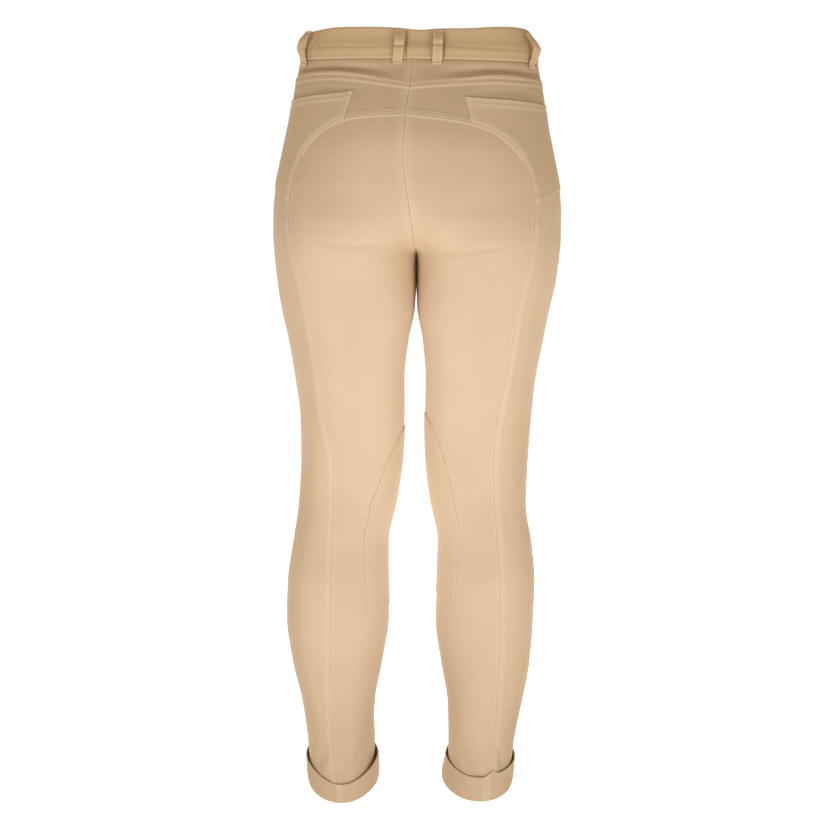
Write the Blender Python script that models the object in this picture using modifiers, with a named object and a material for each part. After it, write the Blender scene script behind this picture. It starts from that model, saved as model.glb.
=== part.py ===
"""Riding jodhpurs with turned-up cuffs, filled out to the hollow form in which they are worn.

Metres, +Z up. The origin is the middle of the waist opening, at half the waistband's height.
The front of the garment faces -Y, the back faces +Y, and the wearer's left is +X.

Every panel of cloth is a net of points on one garment surface. A place on that surface is
(across, level): across runs from 0 at the centre back, or the inner leg seam, round the outside of
the body to 1 at the centre front, or the inner leg seam again. Level is the height, except
near the hem, which dips towards the heel.
"""

import math

import bmesh
import bpy
import numpy as np
from mathutils import Vector

MM = 0.001

# ---------------------------------------------------------------- driving dimensions, in millimetres

CLOTH = 1.4                 # one layer of stretch cloth
BAND_CLOTH = 2.6            # waistband: two layers and a stiffener
CUFF_CLOTH = 1.5
LOOP_CLOTH = 1.8            # belt loop: cloth folded in three and pressed
SEAM_GAP = 0.3              # between neighbouring pieces
LAY_GAP = 0.35              # between a panel and what lies on it

BAND_TOP = 19.0
BAND_FOOT = -19.0
BAND_PROUD = 0.6            # the waistband's outer face over the panels' outer face
TAB_REACH = 32.0            # the waistband's right end laps over the left one by this
TAB_RISE_FROM = 63.0        # where the lapping end starts to rise, from the centre front
TAB_RISE_LENGTH = 55.0      # and the run in which it rises
YOKE_CENTRE = -55.0         # level of the yoke seam at the centre back
SEAT_SEAM_CENTRE = -89.0    # level of the seat seam at the centre back
YOKE_SIDE = -48.0           # level of the yoke seam at the side seam
SEAT_CORNER = -140.0        # level at which the seat seam has turned down the leg
CROTCH = -264.0
HEM = -957.0

HEM_SLOPE = 0.45            # the hem dips by this share of the distance towards the heel
HEM_PIVOT = -4.0            # depth at which the hem has its own level
HEM_DIP_FROM = -840.0       # level at which rows start to follow the hem's slope
HEM_LIFT = 2.4              # the panels end this far above the fold of the turned-up cuff

CENTRE_CLEAR = 0.15         # left and right halves keep this from the centre plane
PROBE_ACROSS = 0.004        # steps over which the surface's slope is read
PROBE_LEVEL = 1.5

# Rings of the body and the legs. "left" and "right" are the outermost points, "inner" is the
# innermost one, which passes the centre plane where the two halves join, and "lobe" is where a
# half is deepest. "square" is 2 for an ellipse and more for a squarer ring.
RING_COLUMNS = ("level", "left", "right", "inner", "lobe", "back", "front", "square")
RINGS = (
    (26, 148, 148, -148, 0, 98, -97, 2.20),
    (0, 150, 150, -150, 0, 101, -100, 2.20),
    (-22, 154, 154, -154, 0, 106, -105, 2.22),
    (-60, 161.5, 161.5, -161, 0, 114, -110, 2.25),
    (-100, 168, 168, -166, 1, 121, -113, 2.28),
    (-140, 176, 176, -158, 12, 127, -112, 2.30),
    (-180, 183.5, 183.5, -124, 32, 130, -109, 2.30),
    (-212, 186, 186, -72, 54, 130, -106, 2.30),
    (-240, 186, 186, -27, 74, 126, -102, 2.28),
    (-264, 184.5, 184.5, 1, 87, 119, -99, 2.25),
    (-300, 180.5, 180.5, 1, 90, 109, -95, 2.22),
    (-330, 176, 174, 1.5, 90, 102, -92, 2.20),
    (-377, 165.5, 165.5, 9.5, 88, 91, -88, 2.18),
    (-429, 156.5, 156.5, 14, 86, 79, -83, 2.15),
    (-482, 149.5, 152, 13.5, 84, 68, -78, 2.12),
    (-534, 148.5, 149, 15.5, 82, 60, -73, 2.10),
    (-587, 150.5, 147.5, 22.5, 87, 56, -66, 2.10),
    (-640, 157.5, 155.5, 33, 95, 59, -59, 2.08),
    (-694, 164, 160, 32, 98, 66, -52, 2.06),
    (-740, 165, 159, 30.5, 98, 66, -50, 2.05),
    (-800, 157, 155, 39, 98, 60, -49, 2.05),
    (-854, 144, 146, 48, 96, 52, -48, 2.05),
    (-907, 136, 136.5, 50, 93, 46, -49, 2.05),
    (-957, 132, 132, 49, 91, 44, -52, 2.05),
    (-1000, 131, 131, 49, 90, 43, -55, 2.05),
)

# The centre back seam wanders off the centre plane by "shift".
CENTRE_SEAM = (
    # level, shift
    (60, 4),
    (19, 5),
    (-28, 8),
    (-55, 12),
    (-88, 16),
    (-133, 19),
    (-182, 14),
    (-220, 8),
    (-246, 4),
    (-264, 1),
    (-300, 0),
)
SEAM_PULL_WIDTH = 120.0     # the cloth moves with the wandering seam over this width each side
SEAM_PULL_DEPTH = 60.0      # and only behind this depth

# The curved seat seam, which runs on as the back leg seam: (distance from the centre, level).
SEAT_SEAM = {
    "left": (
        (16, SEAT_SEAM_CENTRE), (60, -91), (95, -97), (124, -113), (146, SEAT_CORNER),
        (159, -180), (162, -222), (156, -265), (142, -312), (129, -390), (117, -470),
        (104, -535), (104, -620), (105, -760), (103, -870), (92, HEM),
    ),
    "right": (
        (-16, SEAT_SEAM_CENTRE), (30, -94), (66, -100), (100, -113), (130, SEAT_CORNER),
        (144, -176), (148, -214), (144, -262), (130, -325), (117, -415), (103, -495),
        (103, -565), (109, -645), (113, -735), (110, -867), (99, HEM),
    ),
}
# The yoke's lower seam: (distance from the centre, level), up to the side seam.
YOKE_SEAM = {
    "left": ((12, YOKE_CENTRE), (51, -50), (88, -45), (125, -43.5)),
    "right": ((-12, YOKE_CENTRE), (56, -49), (95, -46.5), (125, -47)),
}

# Patch pocket on the back: its top, inner edge and foot, each a line through two points of
# (distance from the centre, level), and a point inside it.
POCKET = {
    "left": (((86, -60), (165, -68)), ((86, -60), (97, -100)), ((158, -199), (176, -178))),
    "right": (((58, -65), (160, -72)), ((58, -65), (64, -100)), ((147, -198), (174, -177))),
}
POCKET_INSIDE = (130, -120)
POCKET_SIDE_MARGIN = 5.0    # the pocket stops this far behind the side seam

# Knee patch on the inner leg: its edge, the same at the back and at the front.
KNEE_EDGE = {
    "left": ((13, -472), (36, -534), (55, -586), (64, -626), (62.5, -672), (57, -734)),
    "right": ((11, -457), (34, -512), (47, -560), (58, -610), (58.5, -650), (55, -716)),
}
KNEE_FOOT = {"left": ((57, -734), (30, -722)), "right": ((55, -716), (28, -706))}
KNEE_INSIDE = (30, -650)

# The turned-up cuff's section: (distance out from the leg, height over the hem).
CUFF_SECTION = ((-0.2, 1.0), (0.9, 0.1), (2.4, 0.5), (3.4, 3.0), (3.7, 12.0), (4.1, 23.0), (4.9, 34.0))
CUFF_GAPE = {"left": 4.0, "right": 1.0}   # more room on the inner side of each cuff

# Belt loop: (level, gap between the surface and the loop's inner face).
LOOP_RISE = (
    (-26, 0.5), (-21.5, 1.2), (-15.5, 5.4), (-9, 8.0), (-2, 8.4), (6, 7.6), (13, 4.4), (18, 1.1),
)
LOOP_WIDTH = 11.8
# Distance of each loop from the centre, with "back" or "front" of the body.
LOOPS = {
    "belt_loop_back_left": ("left", "back", 24.8),
    "belt_loop_back_right": ("right", "back", 22.3),
    "belt_loop_side_left": ("left", "back", 140.5),
    "belt_loop_side_right": ("right", "back", 138.0),
    "belt_loop_front_left": ("left", "front", 68.0),
    "belt_loop_front_right": ("right", "front", 68.0),
}

BUTTON_RADIUS = 7.5
BUTTON_THICK = 3.0
BUTTON_AT = 16.0            # from the centre front, on the wearer's left
BUTTON_CLEAR = 0.5
# The button's half section, from the middle of its dished face to the middle of its underside:
# (radius, height) shares.
BUTTON_SECTION = (
    (0.0, 0.70), (0.55, 0.70), (0.72, 0.80), (0.82, 1.0), (0.95, 0.92), (1.0, 0.55),
    (0.93, 0.12), (0.8, 0.0), (0.0, 0.0),
)

# ---------------------------------------------------------------- numbers of rows and columns

SEAT_COLUMNS = 8            # centre back to the corner of the seat seam
SIDE_COLUMNS = 4            # back leg seam to side seam
FRONT_COLUMNS = 8           # centre front to side seam
SEAT_ROWS = 8               # seat seam to crotch
LEG_ROWS = 20               # crotch to hem
YOKE_ROWS = 2               # waistband to yoke seam
TAB_COLUMNS = 3             # centre front to the end of the lap
LOOP_COLUMNS = 2
BUTTON_STEPS = 24
EDGE_CROWDING = 0.9         # 0 spaces columns evenly, 1 crowds them at the seams
RING_STEPS = 180            # points on half a ring
SPAN_STEPS = 24             # points on a smooth curve between two given ones

SIGN = {"left": 1.0, "right": -1.0}


# ---------------------------------------------------------------- the garment surface


def smooth_steps(t):
    """0 to 1 with no slope at either end."""
    t = min(max(t, 0.0), 1.0)
    return t * t * (3.0 - 2.0 * t)


def read(table, column, level):
    """A column of a table at a level, on a curve that never overshoots its rows."""
    rows = np.array(table, float)[::-1]
    x, y = rows[:, 0], rows[:, column]
    step = np.diff(x)
    slope = np.diff(y) / step
    tangent = np.zeros(len(y))
    tangent[0], tangent[-1] = slope[0], slope[-1]
    for i in range(1, len(y) - 1):
        if slope[i - 1] * slope[i] > 0:
            before, after = step[i] * 2 + step[i - 1], step[i] + step[i - 1] * 2
            tangent[i] = (before + after) / (before / slope[i - 1] + after / slope[i])
    i = int(np.clip(np.searchsorted(x, level) - 1, 0, len(step) - 1))
    t = min(max((level - x[i]) / step[i], 0.0), 1.0)
    rise = t * t * (3 - 2 * t)
    bend = step[i] * (tangent[i] * t * (1 - t) ** 2 + tangent[i + 1] * t * t * (t - 1))
    return y[i] + rise * (y[i + 1] - y[i]) + bend


def cut_at_centre(x, y):
    """The part of a closed ring on the outer side of the centre plane, with its ends on it."""
    kept = np.flatnonzero(x >= CENTRE_CLEAR)
    first, last = kept[0], kept[-1]
    points = [(x[i], y[i]) for i in range(first, last + 1)]
    for outside, inside, place in ((first - 1, first, 0), (last + 1, last, len(points) + 1)):
        if 0 <= outside < len(x):
            share = (CENTRE_CLEAR - x[outside]) / (x[inside] - x[outside])
            points.insert(place, (CENTRE_CLEAR, y[outside] + share * (y[inside] - y[outside])))
    return np.array(points)


ring_store = {}


def half_ring(side, level):
    """Half a ring from the back end to the front end, and each point's share of its length."""
    key = (side, round(level, 4))
    if key not in ring_store:
        row = {name: read(RINGS, k, level) for k, name in enumerate(RING_COLUMNS) if k}
        middle = (row["back"] + row["front"]) / 2
        angle = np.linspace(math.pi, -math.pi, 2 * RING_STEPS + 1)
        out, up = np.cos(angle), np.sin(angle)
        reach = np.where(out > 0, row[side] - row["lobe"], row["lobe"] - row["inner"])
        depth = np.where(up > 0, row["back"] - middle, middle - row["front"])
        power = 2 / row["square"]
        x = row["lobe"] + reach * np.sign(out) * np.abs(out) ** power
        y = middle + depth * np.sign(up) * np.abs(up) ** power
        points = cut_at_centre(x, y)
        length = np.concatenate([[0.0], np.cumsum(np.hypot(*np.diff(points, axis=0).T))])
        ring_store[key] = (points, length / length[-1], int(np.argmax(points[:, 0])))
    return ring_store[key]


def seam_pull(x, y, level):
    """How far the wandering centre back seam moves the cloth sideways."""
    near = max(0.0, 1.0 - (x / SEAM_PULL_WIDTH) ** 2) ** 2
    return read(CENTRE_SEAM, 1, level) * near * smooth_steps(y / SEAM_PULL_DEPTH)


def surface(side, across, level):
    """A point of the garment's outer surface, in millimetres."""
    points, share, _ = half_ring(side, level)
    x = SIGN[side] * np.interp(across, share, points[:, 0])
    y = np.interp(across, share, points[:, 1])
    dip = smooth_steps((HEM_DIP_FROM - level) / (HEM_DIP_FROM - HEM))
    return np.array([x + seam_pull(x, y, level), y, level - dip * HEM_SLOPE * (y - HEM_PIVOT)])


def outward(side, across, level):
    """The surface's outward normal."""
    low, high = max(across - PROBE_ACROSS, 0.0), min(across + PROBE_ACROSS, 1.0)
    along = surface(side, high, level) - surface(side, low, level)
    up = surface(side, across, level + PROBE_LEVEL) - surface(side, across, level - PROBE_LEVEL)
    normal = np.cross(up, along) * SIGN[side]
    return normal / np.linalg.norm(normal)


def side_seam(side, level):
    """Across at the outermost point."""
    _, share, outermost = half_ring(side, level)
    return float(share[outermost])


def find_across(side, half, distance, level):
    """Across of the point of the "back" or "front" half at that distance from the centre."""
    points, share, outermost = half_ring(side, level)
    chosen = range(outermost + 1) if half == "back" else range(len(points) - 1, outermost - 1, -1)
    sign = SIGN[side]
    x = [points[i][0] + sign * seam_pull(sign * points[i][0], points[i][1], level) for i in chosen]
    return float(np.interp(distance, x, [share[i] for i in chosen]))


# ---------------------------------------------------------------- seams, as lists of (across, level)


def spline(points):
    """A dense smooth curve through points."""
    p = np.array(points, float)
    p = np.vstack([2 * p[0] - p[1], p, 2 * p[-1] - p[-2]])
    curve = []
    for a, b, c, d in zip(p, p[1:], p[2:], p[3:]):
        bend, twist = 2 * a - 5 * b + 4 * c - d, 3 * b - a - 3 * c + d
        for t in np.linspace(0, 1, SPAN_STEPS, endpoint=False):
            curve.append(b + 0.5 * ((c - a) * t + bend * t**2 + twist * t**3))
    curve.append(p[-2])
    return np.array(curve)


def corner_of(side):
    """Index of the seat seam's corner on its dense curve."""
    return [level for _, level in SEAT_SEAM[side]].index(SEAT_CORNER) * SPAN_STEPS


def crowded(count):
    """Shares from 0 to 1 that crowd towards both ends, where the seams are."""
    even = np.linspace(0, 1, count + 1)
    return even * (1 - EDGE_CROWDING) + EDGE_CROWDING * (1 - np.cos(math.pi * even)) / 2


def resample(curve, shares):
    """Points of a curve at shares of its length."""
    length = np.concatenate([[0.0], np.cumsum(np.hypot(*np.diff(curve, axis=0).T))])
    return np.array([[np.interp(s * length[-1], length, curve[:, k]) for k in (0, 1)] for s in shares])


def on_back(side, points):
    """(distance, level) points as (across, level)."""
    return np.array([(find_across(side, "back", d, z), z) for d, z in points])


def leg_levels():
    """Row levels from the crotch to the hem."""
    return np.linspace(CROTCH, HEM + HEM_LIFT, LEG_ROWS + 1)


def centre_levels(across, start, rows):
    """Row levels down the centre seam to the crotch, evenly spaced along its curve."""
    fine = CROTCH + (start - CROTCH) * np.linspace(1, 0, RING_STEPS) ** 2
    path = np.array([surface("left", across, z)[1:] for z in fine])
    length = np.concatenate([[0.0], np.cumsum(np.hypot(*np.diff(path, axis=0).T))])
    levels = np.interp(np.linspace(0, length[-1], rows + 1), length, fine)
    levels[-1] = CROTCH
    return levels


def seat_seam_upper(side):
    """From the centre back to the corner of the seat seam."""
    curve = spline(SEAT_SEAM[side])[: corner_of(side) + 1]
    points = on_back(side, resample(curve, crowded(SEAT_COLUMNS)))
    points[0] = (0.0, SEAT_SEAM_CENTRE)
    return points


def seat_seam_lower(side):
    """From the corner of the seat seam down to the hem, one point for each row."""
    curve = spline(SEAT_SEAM[side])[corner_of(side) :]
    levels = np.concatenate([np.linspace(SEAT_CORNER, CROTCH, SEAT_ROWS + 1), leg_levels()[1:]])
    distance = np.interp(-levels, -curve[:, 1], curve[:, 0])
    return on_back(side, np.column_stack([distance, levels]))


def yoke_end(side):
    """Where the yoke seam meets the side seam."""
    return (side_seam(side, YOKE_SIDE), YOKE_SIDE)


def yoke_seam(side):
    """From the centre back to the side seam."""
    end = yoke_end(side)
    curve = spline(np.vstack([on_back(side, YOKE_SEAM[side]), end]))
    across = crowded(SEAT_COLUMNS) * end[0]
    points = np.column_stack([across, np.interp(across, curve[:, 0], curve[:, 1])])
    points[0] = (0.0, YOKE_CENTRE)
    return points


def down_side(side):
    """Down the side seam from the yoke seam to the hem."""
    levels = np.concatenate([np.linspace(YOKE_SIDE, CROTCH, SEAT_ROWS + 1), leg_levels()[1:]])
    return np.array([(side_seam(side, z), z) for z in levels])


# ---------------------------------------------------------------- nets of points


def fill(left, right, top, bottom, shares):
    """A net between four edges. Rows run from top to bottom, columns from left to right."""
    rows = len(left)
    down = np.linspace(0, 1, rows)
    net = np.zeros((rows, len(shares), 2))
    for j, v in enumerate(down):
        for i, u in enumerate(shares):
            edges = (1 - u) * left[j] + u * right[j] + (1 - v) * top[i] + v * bottom[i]
            upper = (1 - u) * top[0] + u * top[-1]
            lower = (1 - u) * bottom[0] + u * bottom[-1]
            net[j, i] = edges - (1 - v) * upper - v * lower
    return net


def straight(start, end, shares):
    """Points between two (across, level) points."""
    return np.array([np.array(start) * (1 - s) + np.array(end) * s for s in shares])


def to_space(side, net):
    """A net of (across, level) as points in millimetres."""
    return np.array([[surface(side, across, level) for across, level in row] for row in net])


def pull_in(points, edges):
    """Moves the named edges of a net in along the surface, by half the seam gap."""
    moved = points.copy()
    views = {
        "top": (moved[0], points[0], points[1]),
        "bottom": (moved[-1], points[-1], points[-2]),
        "left": (moved[:, 0], points[:, 0], points[:, 1]),
        "right": (moved[:, -1], points[:, -1], points[:, -2]),
    }
    for name in edges:
        target, edge, inside = views[name]
        run = np.gradient(edge, axis=0)
        run /= np.linalg.norm(run, axis=1, keepdims=True)
        into = inside - edge
        into -= run * np.sum(into * run, axis=1, keepdims=True)
        target += into / np.linalg.norm(into, axis=1, keepdims=True) * SEAM_GAP / 2
    return moved


def seat_net(side):
    """Seat and back of the leg: centre back and inner leg seam to seat seam and back leg seam."""
    shares = crowded(SEAT_COLUMNS)
    levels = np.concatenate([centre_levels(0.0, SEAT_SEAM_CENTRE, SEAT_ROWS), leg_levels()[1:]])
    left = np.array([(0.0, z) for z in levels])
    right = seat_seam_lower(side)
    net = fill(left, right, seat_seam_upper(side), straight(left[-1], right[-1], shares), shares)
    return pull_in(to_space(side, net), ("top", "right", "left"))


def side_net(side):
    """Hip and outer leg: seat seam and back leg seam to yoke seam and side seam."""
    shares = crowded(SIDE_COLUMNS)
    left = np.vstack([seat_seam_upper(side), seat_seam_lower(side)[1:]])
    right = np.vstack([yoke_seam(side), down_side(side)[1:]])
    top, bottom = straight(left[0], right[0], shares), straight(left[-1], right[-1], shares)
    return pull_in(to_space(side, fill(left, right, top, bottom, shares)), ("left", "right"))


def yoke_net(side):
    """Waistband to yoke seam, centre back to side seam."""
    shares = crowded(SEAT_COLUMNS)
    bottom = yoke_seam(side)
    top = np.array([(s * side_seam(side, BAND_FOOT), BAND_FOOT) for s in shares])
    down = np.linspace(0, 1, YOKE_ROWS + 1)
    left, right = straight(top[0], bottom[0], down), straight(top[-1], bottom[-1], down)
    net = fill(left, right, top, bottom, shares)
    return pull_in(to_space(side, net), ("top", "bottom", "right"))


def front_net(side):
    """Front: centre front and inner leg seam to side seam, waistband to hem."""
    shares = crowded(FRONT_COLUMNS)
    down = np.linspace(0, 1, YOKE_ROWS + 1)
    above = straight((side_seam(side, BAND_FOOT), BAND_FOOT), yoke_end(side), down)
    right = np.vstack([above, down_side(side)[1:]])
    levels = np.concatenate([centre_levels(1.0, BAND_FOOT, YOKE_ROWS + SEAT_ROWS), leg_levels()[1:]])
    left = np.array([(1.0, z) for z in levels])
    top, bottom = straight(left[0], right[0], shares), straight(left[-1], right[-1], shares)
    return pull_in(to_space(side, fill(left, right, top, bottom, shares)), ("top", "left", "right"))


# ---------------------------------------------------------------- Blender objects


def clear_scene():
    """Removes what the startup file holds."""
    for old in list(bpy.data.objects):
        bpy.data.objects.remove(old, do_unlink=True)


def finish(name, colour, roughness, metallic=0.0):
    """A plain material."""
    material = bpy.data.materials.new(name)
    material.use_nodes = True
    shader = material.node_tree.nodes["Principled BSDF"]
    shader.inputs["Base Color"].default_value = (*colour, 1.0)
    shader.inputs["Roughness"].default_value = roughness
    shader.inputs["Metallic"].default_value = metallic
    return material


def sheet_from_net(net, turns_left, closed=False):
    """An open sheet through a net, as a bmesh in metres. Each cell is split from its first corner,
    so that pieces made from the same net have the same facets. It faces the reader of a net
    whose columns run to the right, or to the left where turns_left is true."""
    rows, columns = len(net), len(net[0])
    sheet = bmesh.new()
    points = [[sheet.verts.new(Vector(p) * MM) for p in row] for row in net]
    for j in range(rows - 1):
        for i in range(columns if closed else columns - 1):
            k = (i + 1) % columns
            first, below, across, beside = points[j][i], points[j + 1][i], points[j + 1][k], points[j][k]
            for corners in ((first, below, across), (first, across, beside)):
                sheet.faces.new(corners[::-1] if turns_left else corners)
    sheet.normal_update()
    return sheet


def add_object(name, sheet, material, collection):
    """A mesh object from a bmesh."""
    mesh = bpy.data.meshes.new(name)
    sheet.to_mesh(mesh)
    sheet.free()
    mesh.materials.append(material)
    mesh.shade_smooth()
    thing = bpy.data.objects.new(name, mesh)
    collection.objects.link(thing)
    return thing


def add_wall(thing, thickness, offset):
    """Gives an open sheet its thickness. Offset -1 is inwards, 0 both ways and 1 outwards."""
    wall = thing.modifiers.new("Cloth", "SOLIDIFY")
    wall.thickness = thickness * MM
    wall.offset = offset


def cut_off(sheet, point, normal):
    """Removes what lies past a plane, in metres."""
    everything = sheet.verts[:] + sheet.edges[:] + sheet.faces[:]
    bmesh.ops.bisect_plane(sheet, geom=everything, plane_co=point, plane_no=normal, clear_outer=True)


def lay_out(sheet, distance):
    """Moves a sheet out along its own normals."""
    sheet.normal_update()
    moves = [(v, v.normal.copy()) for v in sheet.verts]
    for vertex, normal in moves:
        vertex.co += normal * distance * MM


def trim(sheet, side, line, keep_point):
    """Cuts a sheet along a line seen from behind, and keeps the side where keep_point is."""
    (x0, z0), (x1, z1) = line
    sign = SIGN[side]
    origin = Vector((sign * x0, 0, z0)) * MM
    normal = Vector((z1 - z0, 0, -(x1 - x0) * sign)).normalized()
    kept = Vector((sign * keep_point[0], 0, keep_point[1])) * MM
    cut_off(sheet, origin, -normal if (kept - origin).dot(normal) > 0 else normal)


def build_panels(side, cloth, collection):
    """Seat, side, yoke and front of one side."""
    nets = {"seat": seat_net(side), "side": side_net(side)}
    nets |= {"yoke": yoke_net(side), "front": front_net(side)}
    for name, net in nets.items():
        turns_left = (side == "left") != (name == "front")
        add_wall(add_object(f"{name}_{side}", sheet_from_net(net, turns_left), cloth, collection), CLOTH, -1)
    return nets


def build_pocket(side, net, cloth, collection):
    """Patch pocket, from the side panel's own points moved out."""
    sheet = sheet_from_net(net, side == "left")
    for line in POCKET[side]:
        trim(sheet, side, line, POCKET_INSIDE)
    level = POCKET_INSIDE[1]
    depth = POCKET_SIDE_MARGIN + surface(side, side_seam(side, level), level)[1]
    cut_off(sheet, Vector((0, depth, 0)) * MM, (0, -1, 0))
    lay_out(sheet, CLOTH + LAY_GAP)
    add_wall(add_object(f"pocket_{side}", sheet, cloth, collection), CLOTH, -1)


def build_knee_patch(side, nets, cloth, collection):
    """Knee patch, from the points of the back and the front of the leg moved out."""
    sheet = sheet_from_net(nets["seat"][SEAT_ROWS:], side == "left")
    front = sheet_from_net(nets["front"][SEAT_ROWS + YOKE_ROWS :], side == "right")
    spare = bpy.data.meshes.new("spare")
    front.to_mesh(spare)
    front.free()
    sheet.from_mesh(spare)
    bpy.data.meshes.remove(spare)
    bmesh.ops.remove_doubles(sheet, verts=sheet.verts[:], dist=1.5 * SEAM_GAP * MM)
    edge = KNEE_EDGE[side]
    for line in (*zip(edge, edge[1:]), KNEE_FOOT[side]):
        trim(sheet, side, line, KNEE_INSIDE)
    lay_out(sheet, CLOTH + LAY_GAP)
    add_wall(add_object(f"knee_patch_{side}", sheet, cloth, collection), CLOTH, -1)


def hem_places(side):
    """Across of every column at the hem, once round the leg."""
    back = find_across(side, "back", SEAT_SEAM[side][-1][0], HEM)
    seam = side_seam(side, HEM)
    stretches = (
        (0.0, back, crowded(SEAT_COLUMNS)),
        (back, seam, crowded(SIDE_COLUMNS)),
        (seam, 1.0, crowded(FRONT_COLUMNS)),
    )
    return [start + (end - start) * s for start, end, shares in stretches for s in shares[:-1]]


def build_cuff(side, cloth, collection):
    """Turned-up cuff: a ring with the section of a hook, round the leg's lower end."""
    net = []
    for out, height in CUFF_SECTION:
        row = []
        for across in hem_places(side):
            level = HEM + height
            normal = outward(side, across, level)
            inner_side = max(0.0, -normal[0] * SIGN[side]) ** 2
            room = out + CUFF_GAPE[side] * inner_side * smooth_steps(height / CUFF_SECTION[-1][1])
            row.append(surface(side, across, level) + normal * room)
        net.append(row)
    ring = sheet_from_net(net, side == "right", closed=True)
    add_wall(add_object(f"cuff_{side}", ring, cloth, collection), CUFF_CLOTH, 0)


def band_path():
    """Places round the waist from the left front end over the back to the lapping right end, as
    (side, across, lift off the surface)."""
    seam = side_seam("left", 0.0)
    half = [seam * share for share in crowded(SEAT_COLUMNS)]
    half += [seam + (1 - seam) * share for share in crowded(FRONT_COLUMNS)[1:]]
    path = [("left", across, 0.0) for across in reversed(half)]
    full_lift = BAND_CLOTH + LAY_GAP
    for across in half[1:]:
        x, y, _ = surface("right", across, 0.0)
        rise = smooth_steps((TAB_RISE_FROM + x) / TAB_RISE_LENGTH) if y < 0 else 0.0
        path.append(("right", across, full_lift * rise))
    for share in np.linspace(0, 1, TAB_COLUMNS + 1)[1:]:
        path.append(("left", find_across("left", "front", TAB_REACH * share, 0.0), full_lift))
    return path


def build_waistband(cloth, collection):
    """One strip round the waist whose right end laps over its left end at the centre front."""
    net = []
    for level in (BAND_TOP, 0.0, BAND_FOOT + SEAM_GAP):
        row = []
        for side, across, lift in band_path():
            reach = BAND_PROUD + lift
            row.append(surface(side, across, level) + outward(side, across, level) * reach)
        net.append(row)
    add_wall(add_object("waistband", sheet_from_net(net, False), cloth, collection), BAND_CLOTH, -1)


def build_belt_loop(name, cloth, collection):
    """A strip that stands off the waistband, flat against it at both ends."""
    side, half, distance = LOOPS[name]
    across = find_across(side, half, distance, 0.0)
    net = []
    for level, gap in LOOP_RISE:
        row = []
        for share in np.linspace(-0.5, 0.5, LOOP_COLUMNS + 1):
            normal = outward(side, across, level)
            along = np.cross((0, 0, 1), normal)
            along /= np.linalg.norm(along)
            row.append(surface(side, across, level) + normal * gap + along * share * LOOP_WIDTH)
        net.append(row)
    add_wall(add_object(name, sheet_from_net(net, True), cloth, collection), LOOP_CLOTH, 1)


def build_button(material, collection):
    """A dished sew-through button on the waistband's lapping end: a turned shape."""
    across = find_across("left", "front", BUTTON_AT, 0.0)
    normal = outward("left", across, 0.0)
    lift = BAND_PROUD + BAND_CLOTH + LAY_GAP + BUTTON_CLEAR
    mesh = bpy.data.meshes.new("waist_button")
    profile = [(r * BUTTON_RADIUS * MM, 0, h * BUTTON_THICK * MM) for r, h in BUTTON_SECTION]
    mesh.from_pydata(profile, [(i, i + 1) for i in range(len(profile) - 1)], [])
    mesh.materials.append(material)
    button = bpy.data.objects.new("waist_button", mesh)
    collection.objects.link(button)
    turn = button.modifiers.new("Turn", "SCREW")
    turn.steps = turn.render_steps = BUTTON_STEPS
    turn.use_merge_vertices = True
    turn.merge_threshold = 0.00005
    button.location = Vector(surface("left", across, 0.0) + normal * lift) * MM
    button.rotation_mode = "QUATERNION"
    button.rotation_quaternion = Vector(normal).to_track_quat("Z", "Y")


def build():
    """The whole garment."""
    clear_scene()
    collection = bpy.data.collections.new("jodhpurs")
    bpy.context.scene.collection.children.link(collection)
    cloth = finish("stretch cloth", (0.71, 0.53, 0.35), 0.85)
    patch = finish("patch cloth", (0.68, 0.50, 0.33), 0.85)
    band = finish("band cloth", (0.64, 0.47, 0.30), 0.85)
    button = finish("button", (0.50, 0.38, 0.25), 0.35)
    for side in SIGN:
        nets = build_panels(side, cloth, collection)
        build_pocket(side, nets["side"], patch, collection)
        build_knee_patch(side, nets, patch, collection)
        build_cuff(side, cloth, collection)
    build_waistband(band, collection)
    for name in LOOPS:
        build_belt_loop(name, band, collection)
    build_button(button, collection)


build()
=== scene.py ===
"""Looks of a pair of beige riding jodhpurs, filled out to the hollow form in which they are worn.

Every cloth piece is a thin shell on one garment form, shaped further by its seams, rows of
stitching and creases. A place on the form is (across, level): across runs from 0 at the centre
back, or the inner leg seam, round the outside to 1 at the centre front, or the inner leg seam
again, and level is the height. Lengths are millimetres until a mesh is made, which is in metres.
The front faces -Y, the back faces +Y, and the wearer's left is +X.
"""

import logging
import math
from dataclasses import dataclass, field, replace
from enum import Enum

import bmesh
import bpy
import numpy as np
from mathutils import Matrix, Vector
from mathutils.bvhtree import BVHTree

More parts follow.
